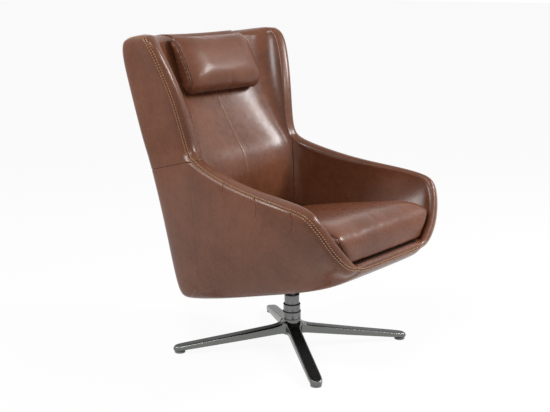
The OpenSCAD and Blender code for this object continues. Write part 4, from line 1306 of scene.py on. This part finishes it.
def cushion_room(points):
    """How far the cushion may stand out: little at the sides, more on top and at the front."""
    top = np.clip((points[:, 2] - CUSHION_Z - 0.03) / 0.03, 0, 1)
    ahead = np.clip((CUSHION_FRONT + 0.10 - points[:, 1]) / 0.08, 0, 1)
    return 0.0005 + 0.004 * np.maximum(top, ahead * above_sole(points))


fill(cushion, 0.006, 0.003, 0.007, cushion_room, above_sole, 16)

# %% Seams of the cushion
# the seam's place across the cushion, how far from its rear and front ends the seam's level run
# goes, and how far the rays then turn down over the nose, counted in points of the line
SEAM_X_SHARE, SEAM_REAR, SEAM_NOSE, SEAM_TURN = 0.925, 0.05, 0.07, radians(150)
LEVEL_POINTS, NOSE_POINTS = 160, 60
SEAM_RISE, FRONT_FOLDS, WELT_SUNK = 0.008, 0.16, 0.0004
cover_tree = tree_of(cushion)
for side in (-1, 1):
    y = np.linspace(CUSHION_FRONT + CUSHION_D - SEAM_REAR, CUSHION_FRONT + SEAM_NOSE, LEVEL_POINTS)
    turn = np.linspace(0, SEAM_TURN, NOSE_POINTS)[1:]
    y = np.concatenate([y, y[-1] + 0 * turn])
    turn = np.concatenate([np.zeros(LEVEL_POINTS), turn])
    v = np.clip((y - CUSHION_MIDDLE_Y) / (CUSHION_D / 2), -1, 1)
    x = side * SEAM_X_SHARE * CUSHION_W / 2 * width_at(v)
    x *= 1 - 0.12 * np.clip(turn / 2.6, 0, 1) ** 2
    z = CUSHION_Z + SEAM_RISE - TOP_RISE / CUSHION_D * (y - CUSHION_MIDDLE_Y) * 0.8
    hits, outs = cast(cover_tree, np.stack([x, y, z], 1),
                      np.stack([0 * x, -np.sin(turn), np.cos(turn)], 1))
    line = smooth_line(hits)

    def at_front_side(p, side=side, line=line):
        """Tells which points lie beside the seam, near the cushion's front."""
        return ((p[:, 0] * side > abs(line[60, 0]) * 0.985)
                & (p[:, 1] < CUSHION_FRONT + FRONT_FOLDS))

    press_line(cushion, line, 0.0020, 0.0040, (0.0012, 0.011, 0.012, at_front_side))
    welt = make_tube("cushion_welt_" + ("right" if side < 0 else "left"), line - outs * WELT_SUNK,
                     0.0019)
    finish_piece(welt, cushion_leather, "shell", "cushion_leather")
finish_piece(cushion, cushion_leather, "shell", "cushion_leather", "seat_cushion")
print("seat cushion", round(CUSHION_W, 3), "by", round(CUSHION_D, 3))

# %% [markdown]
# ## Headrest pillow
# The pillow is a stuffed roll with flat ends, thicker at its foot, and it leans with the back. It
# is made like the cushion: rings from its front middle over the edge to its back, then filling.
# A corded seam goes round each end and gathers the hide a little.

# %% Headrest pillow
PILLOW_W, PILLOW_H, PILLOW_T, PILLOW_CORNER_R = 0.392, 0.214, 0.090, 0.034
# the share of the thickness behind the edge, the lean, how boxed the ends are, how much thinner
# the front is at the top, and how flat the back is at its sides
BACK_SHARE, LEAN, BOXED, TOP_THIN, BACK_FLAT = 0.38, radians(21), 0.45, 0.28, 0.6
# shares of the width where the rays for the end seams start and where the folds begin
END_SHARE, FOLD_SHARE = 0.462, 0.455
# from the middle to the edge: distance from the middle and height, in shares
PILLOW_ROWS = [(.02, 1), (.12, 1), (.36, .97), (.58, .87), (.76, .69), (.89, .45), (.97, .20),
               (1, 0)]
pillow_up = np.array([0, sin(LEAN), cos(LEAN)])
pillow_out = np.array([0, -cos(LEAN), sin(LEAN)])
low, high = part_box("headrest_pillow")
flat_middle = np.array([0, (low.y + high.y) / 2, (low.z + high.z) / 2])
pillow_middle = flat_middle - pillow_out * PILLOW_T * (0.5 - BACK_SHARE)


def pillow_rings(count, around):
    """Rings of the pillow from its front middle over its edge to its back middle."""
    rows = np.array([(s0, (1 - BACK_SHARE) * s1) for s0, s1 in PILLOW_ROWS]
                    + [(s0, -BACK_SHARE * s1) for s0, s1 in PILLOW_ROWS[-2::-1]])
    out, height = smooth_table(rows, count)[:, :, None].transpose(1, 0, 2)
    outline = rounded_rectangle(PILLOW_W, PILLOW_H, PILLOW_CORNER_R, around)
    v = outline[:, 1] / (PILLOW_H / 2)
    x = out ** BOXED * outline[:, 0]
    up = out * outline[:, 1]
    u = x / (PILLOW_W / 2)
    front, back = np.maximum(height, 0), np.minimum(height, 0)
    thick = front * (1 - TOP_THIN * v * out) + back * (1 - BACK_FLAT * u * u)
    return (pillow_middle + np.stack([x, 0 * x, 0 * x], -1) + up[..., None] * pillow_up
            + (PILLOW_T * thick)[..., None] * pillow_out)


pillow = closed_form("headrest_pillow_cover", pillow_rings(44, 110))


def off_the_back(points):
    """Share of the move that a point of the pillow keeps: none where it lies on the back."""
    height = (points - pillow_middle) @ pillow_out
    return np.clip((height + BACK_SHARE * PILLOW_T - 0.006) / 0.02, 0, 1)


def pillow_room(points):
    """How far the pillow may stand out: hardly where it lies on the back, more in front."""
    return 0.0005 + 0.004 * off_the_back(points)


fill(pillow, 0.0045, 0.002, 0.007, pillow_room, off_the_back, 24)
pillow_tree = tree_of(pillow)
for side in (-1, 1):
    turn = np.linspace(0, 2 * pi, 180, endpoint=False)
    start = pillow_middle + np.array([side * END_SHARE * PILLOW_W, 0, 0])
    start = np.broadcast_to(start, (len(turn), 3))
    rays = np.cos(turn)[:, None] * pillow_out + np.sin(turn)[:, None] * pillow_up
    line, outs = cast(pillow_tree, start, rays)

    def at_end(p, side=side):
        """Tells which points lie at the pillow's end."""
        return p[:, 0] * side > FOLD_SHARE * PILLOW_W

    press_line(pillow, line, 0.0024, 0.0036, (0.0010, 0.019, 0.012, at_end))
    welt = make_tube("pillow_welt_" + ("right" if side < 0 else "left"), line - outs * WELT_SUNK,
                     0.0017, closed=True)
    finish_piece(welt, pillow_leather, "headrest", "cushion_leather")
finish_piece(pillow, pillow_leather, "headrest", "cushion_leather", "headrest_pillow")
print("headrest pillow", PILLOW_W, "by", PILLOW_H)

# %% [markdown]
# ## Flap and counterweight
# The pillow hangs by a leather flap that passes over the top edge to a slim weighted pad behind
# the back. The flap is the shell's surface again, over a narrow stretch of columns, lifted by its
# own clearance. The pad is a thin pillow in the same hide.

# %% Flap and counterweight
FLAP_T = (4.12, 5.88)
FLAP_IN_S, FLAP_OUT_S = 1.0, 1.9
CLEAR, PAD_CLEAR = 0.0003, 0.0045
FLAP_RISE, FLAP_THICK, FLAP_ROWS, FLAP_COLUMNS = 0.0024, 0.0022, 61, 30
t = np.linspace(*FLAP_T, FLAP_COLUMNS)[None, :]
x = np.linspace(-1, 1, FLAP_ROWS)[:, None]
s = np.where(x < 0, FLAP_IN_S * x * x, FLAP_OUT_S * x * x)
points = on_shell(s, t, (x > 0) * -1.0 + 1.0)
outward = grid_normals(points)
outward *= np.sign(np.sum(outward[-1] * (on_shell(2, 5, 0) - on_shell(2, 5, 1))))
run = run_length(points, 1)
edge = np.minimum(run, run[:, -1:] - run)
lift = CLEAR + FLAP_RISE - roll_over(edge, 0.0010, 0.002)
flap = make_mesh("headrest_flap_hide", points + outward * lift[..., None],
                 grid_faces(FLAP_ROWS, FLAP_COLUMNS))
crest = FLAP_ROWS // 2
down, aside = points[crest + 1, 10] - points[crest, 10], points[crest, 11] - points[crest, 10]
if np.sum(np.cross(down, aside) * outward[crest, 10]) > 0:
    flap.data.flip_normals()
add_modifier(flap, "SOLIDIFY", thickness=FLAP_THICK, offset=-1)
finish_piece(flap, flap_leather, "shell", "leather", "headrest_flap")

low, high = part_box("counterweight")
low.y += PAD_CLEAR
size = high - low
middle = (low + high) / 2
outline = rounded_rectangle(size.x, size.z, 0.016, 100)
rows = smooth_table([(.02, 1), (.4, .97), (.75, .84), (.93, .52), (1, 0), (.93, -.52), (.75, -.84),
                     (.4, -.97), (.02, -1)], 40)
rings = np.stack([middle.x + outline[None, :, 0] * rows[:, :1],
                  middle.y + 0 * outline[None, :, 0] + rows[:, 1:] * size.y / 2,
                  middle.z + outline[None, :, 1] * rows[:, :1]], -1)
pad = closed_form("counterweight_cover", rings)
finish_piece(pad, flap_leather, "headrest_weight", "leather", "counterweight")
pad_seam = np.stack([middle.x + outline[:, 0] * 1.002, middle.y + 0 * outline[:, 0],
                     middle.z + outline[:, 1] * 1.002], 1)
welt = make_tube("counterweight_welt", pad_seam, 0.0013, closed=True)
finish_piece(welt, flap_leather, "headrest_weight", "leather")
print("flap of", FLAP_ROWS, "rows and a pad", round(size.x, 3), "wide")

# %% [markdown]
# ## Star base
# The base is one dark casting: a hub that flares down from the neck into four long arms with flat
# tops, bevelled edges and rounded ends. The arms are lofts along their length and the hub is a
# turned profile. Both are joined by a fine voxel remesh and a few rounds of smoothing, which
# leaves the soft fillets of a casting where they meet.

# %% Star base
# heights over the floor; start, reach and width of an arm; its depth at the root and the tip, with
# the height of a pad; radii of the hub, with the height of its underside, and of the neck
HUB_TOP, ARM_CROWN, TIP_TOP = 0.100, 0.080, 0.0235
ARM_ROOT, ARM_REACH, ARM_W = 0.022, 0.401, 0.043
ARM_DEEP, TIP_DEEP, PAD_H = 0.029, 0.015, 0.009
HUB_R, FLARE_R, HUB_LOW, NECK_R = 0.034, 0.042, 0.046, 0.0303
ARM_TURN = 47.4
BASE_VOXEL = 0.0019
# along an arm: distance, width, how far the top has come down, and how far it rises to the neck
ARM_ROWS = [
    (0, 1.75, 0, .66), (.016, 1.40, .01, .47), (.035, 1.18, .02, .30), (.055, 1.06, .04, .16),
    (.08, 1.01, .065, .06), (.12, 1, .11, 0), (.28, 1, .28, 0), (.45, 1, .46, 0), (.62, 1, .63, 0),
    (.78, .99, .79, 0), (.90, .98, .91, 0), (.95, .92, .96, 0), (.975, .74, .985, 0),
    (.99, .50, 1.02, 0), (1, .20, 1.08, 0)]
# half a section of the arm: shares of its half width and of its height
ARM_EDGE = [(.93, 0), (1, .06), (1, .70), (.97, .82), (.90, .93), (.80, .985), (.70, 1),
            (.35, 1), (0, 1)]


def arm_rings():
    """Sections of an arm: half widths and heights of a bevelled bar at each row."""
    rows = np.array(ARM_ROWS)
    at = np.linspace(0, len(rows) - 1, 70)
    place_on, wide, fallen, rise = (np.interp(at, np.arange(len(rows)), rows[:, k])
                                    for k in range(4))
    reach = ARM_ROOT + (ARM_REACH - ARM_ROOT) * place_on
    level = ARM_CROWN + (TIP_TOP - ARM_CROWN) * fallen
    top = level + (HUB_TOP - ARM_CROWN) * rise
    deep = ARM_DEEP + (TIP_DEEP - ARM_DEEP) * np.minimum(fallen, 1)
    bottom = np.minimum(np.maximum(level - deep, PAD_H), level - deep / 2)
    edge = np.array(ARM_EDGE + [(-a, b) for a, b in ARM_EDGE[-2::-1]])
    side = ARM_W / 2 * wide[:, None] * edge[None, :, 0]
    height = bottom[:, None] + (top - bottom)[:, None] * edge[None, :, 1]
    return np.stack([reach[:, None] + 0 * side, side, height], -1)


def turned_rings(profile, around=96):
    """A profile of (radius, height) turned about the column axis."""
    profile = np.asarray(profile, float)
    angle = np.arange(around) * 2 * pi / around
    radius = np.maximum(profile[:, 0], 1e-5)[:, None]
    return np.stack([radius * np.cos(angle), AXIS_Y + radius * np.sin(angle),
                     profile[:, 1][:, None] + 0 * radius * angle], -1)


def join_pieces(first, others):
    """Adds the meshes of other objects to the first and removes the others."""
    shape = bmesh.new()
    for piece in [first] + others:
        shape.from_mesh(piece.data)
    shape.to_mesh(first.data)
    shape.free()
    for piece in others:
        bpy.data.objects.remove(piece)


arms = []
rings = arm_rings()
for k in range(4):
    turn = radians(ARM_TURN + 90 * k)
    spun = np.stack([rings[..., 0] * cos(turn) - rings[..., 1] * sin(turn),
                     AXIS_Y + rings[..., 0] * sin(turn) + rings[..., 1] * cos(turn),
                     rings[..., 2]], -1)
    arms.append(closed_form("arm", spun))
flare = [(FLARE_R + (NECK_R - FLARE_R) * sin(radians(15 * k)),
          ARM_CROWN + (HUB_TOP - ARM_CROWN) * (1 - cos(radians(15 * k)))) for k in range(7)]
hub = closed_form("star_base_casting", turned_rings(
    [(0, HUB_LOW), (HUB_R, HUB_LOW), (FLARE_R, HUB_LOW + FLARE_R - HUB_R), (FLARE_R, ARM_CROWN)]
    + flare + [(0, HUB_TOP)]))
join_pieces(hub, arms)
add_modifier(hub, "REMESH", mode="VOXEL", voxel_size=BASE_VOXEL)
apply_modifiers(hub)
add_modifier(hub, "SMOOTH", factor=0.5, iterations=5)
apply_modifiers(hub)
finish_piece(hub, base_metal, "base", "base_metal", "star_base")
print("base casting:", len(hub.data.polygons), "faces")

# %% [markdown]
# ## Column
# Three satin sleeves stand on the hub, each a little slimmer than the one below, with a black
# ring at each joint. They are turned profiles with small rounded edges, sized from the solids
# that they stand for.

# %% Column
# the radius of a rounded edge, of the tube inside the sleeves, and of the hole of the top ring
EDGE, TUBE_R, SPINDLE_HOLE_R = 0.0007, 0.02202, 0.0147
SLEEVES = ("hub_neck", "middle_sleeve", "upper_sleeve")
RINGS = ("lower_ring", "middle_ring", "top_ring")


def rounded_ring(inner, outer, z0, z1):
    """Closed profile of a tube whose outer corners are quarter circles."""
    turn = np.linspace(0, pi / 2, 5)
    low_corner = [(outer - EDGE + EDGE * sin(a), z0 + EDGE - EDGE * cos(a)) for a in turn]
    high_corner = [(outer - EDGE + EDGE * cos(a), z1 - EDGE + EDGE * sin(a)) for a in turn]
    return [(inner, z0)] + low_corner + high_corner + [(inner, z1)]


def turn_piece(name, profile, material, slot, node):
    """A turned part of the base, with its sharp edges kept."""
    rings = turned_rings(profile)
    piece = make_mesh(name, rings, grid_faces(len(profile), rings.shape[1], True, True))
    turn_outwards(piece.data)
    piece.data.set_sharp_from_angle(angle=radians(40))
    finish_piece(piece, material, "base", slot, node)


for node in SLEEVES + RINGS:
    low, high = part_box(node)
    inner = SPINDLE_HOLE_R if node == "top_ring" else TUBE_R
    if node in SLEEVES:
        material, slot = sleeve_metal, "sleeve_metal"
    else:
        material, slot = ring_rubber, "ring_black"
    turn_piece(node + "_turned", rounded_ring(inner, (high.x - low.x) / 2, low.z, high.z),
               material, slot, node)
print("column of", len(SLEEVES), "sleeves and", len(RINGS), "rings")

# %% [markdown]
# ## Foot pads
# A moulded grey pad sits under the end of each arm. It is a low turned disc with a rounded foot,
# and the four pads are joined into one piece, as the solid has them.

# %% Foot pads
PAD_R, PAD_PLACE = 0.018, ARM_REACH - ARM_W / 2
PAD_PROFILE = [(0, 0), (PAD_R - 0.003, 0), (PAD_R - 0.001, 0.0008), (PAD_R, 0.0026),
               (PAD_R, PAD_H - 0.0012), (PAD_R - 0.0008, PAD_H - 0.0003), (0, PAD_H - 0.0002)]
pads = []
for k in range(4):
    turn = radians(ARM_TURN + 90 * k)
    shift = np.array([PAD_PLACE * cos(turn), PAD_PLACE * sin(turn), 0])
    name = "foot_pads_moulded" if k == 0 else "pad"
    pads.append(closed_form(name, turned_rings(PAD_PROFILE, 48) + shift))
join_pieces(pads[0], pads[1:])
finish_piece(pads[0], pad_plastic, "base", "pad_metal", "foot_pads")

# %% [markdown]
# ## Tilt springs
# Two short coil springs stand behind the pivot and push the seat forward. Each is a helix of
# round wire, as tall as the solid that it stands for.

# %% Tilt springs
low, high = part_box("tilt_springs")
WIRE, SPRING_R, TURNS, END_TURNS, CLIMB_MORE = 0.0040, 0.0090, 6, 0.75, 0.0002
SPRING_X, SPRING_Y = 0.020, AXIS_Y + 0.034
turn = np.linspace(0, 2 * pi * TURNS, 24 * TURNS + 1)
# the flat end turns lie on one another, and only the turns between them climb
climb = np.clip((turn / (2 * pi) - END_TURNS) / (TURNS - 2 * END_TURNS), 0, 1)
springs = []
for side in (-1, 1):
    z = low.z + WIRE / 2 + (high.z - low.z - WIRE) * climb
    z += CLIMB_MORE * turn / turn[-1]
    line = np.stack([side * SPRING_X + SPRING_R * np.cos(turn),
                     SPRING_Y + SPRING_R * np.sin(turn), z], 1)
    along = np.gradient(line, axis=0)
    along /= np.linalg.norm(along, axis=1, keepdims=True)
    out = np.stack([np.cos(turn), np.sin(turn), 0 * turn], 1)
    third = np.cross(along, out)
    angle = np.arange(8) * pi / 4
    circle = np.cos(angle)[:, None] * out[:, None] + np.sin(angle)[:, None] * third[:, None]
    rings = line[:, None] + WIRE / 2 * circle
    springs.append(closed_form("tilt_springs_wound" if side < 0 else "spring", rings))
join_pieces(springs[0], springs[1:])
finish_piece(springs[0], bright_metal, "turntable", "bright_steel", "tilt_springs")
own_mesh(springs[0])
print("tilt springs of", TURNS, "turns")
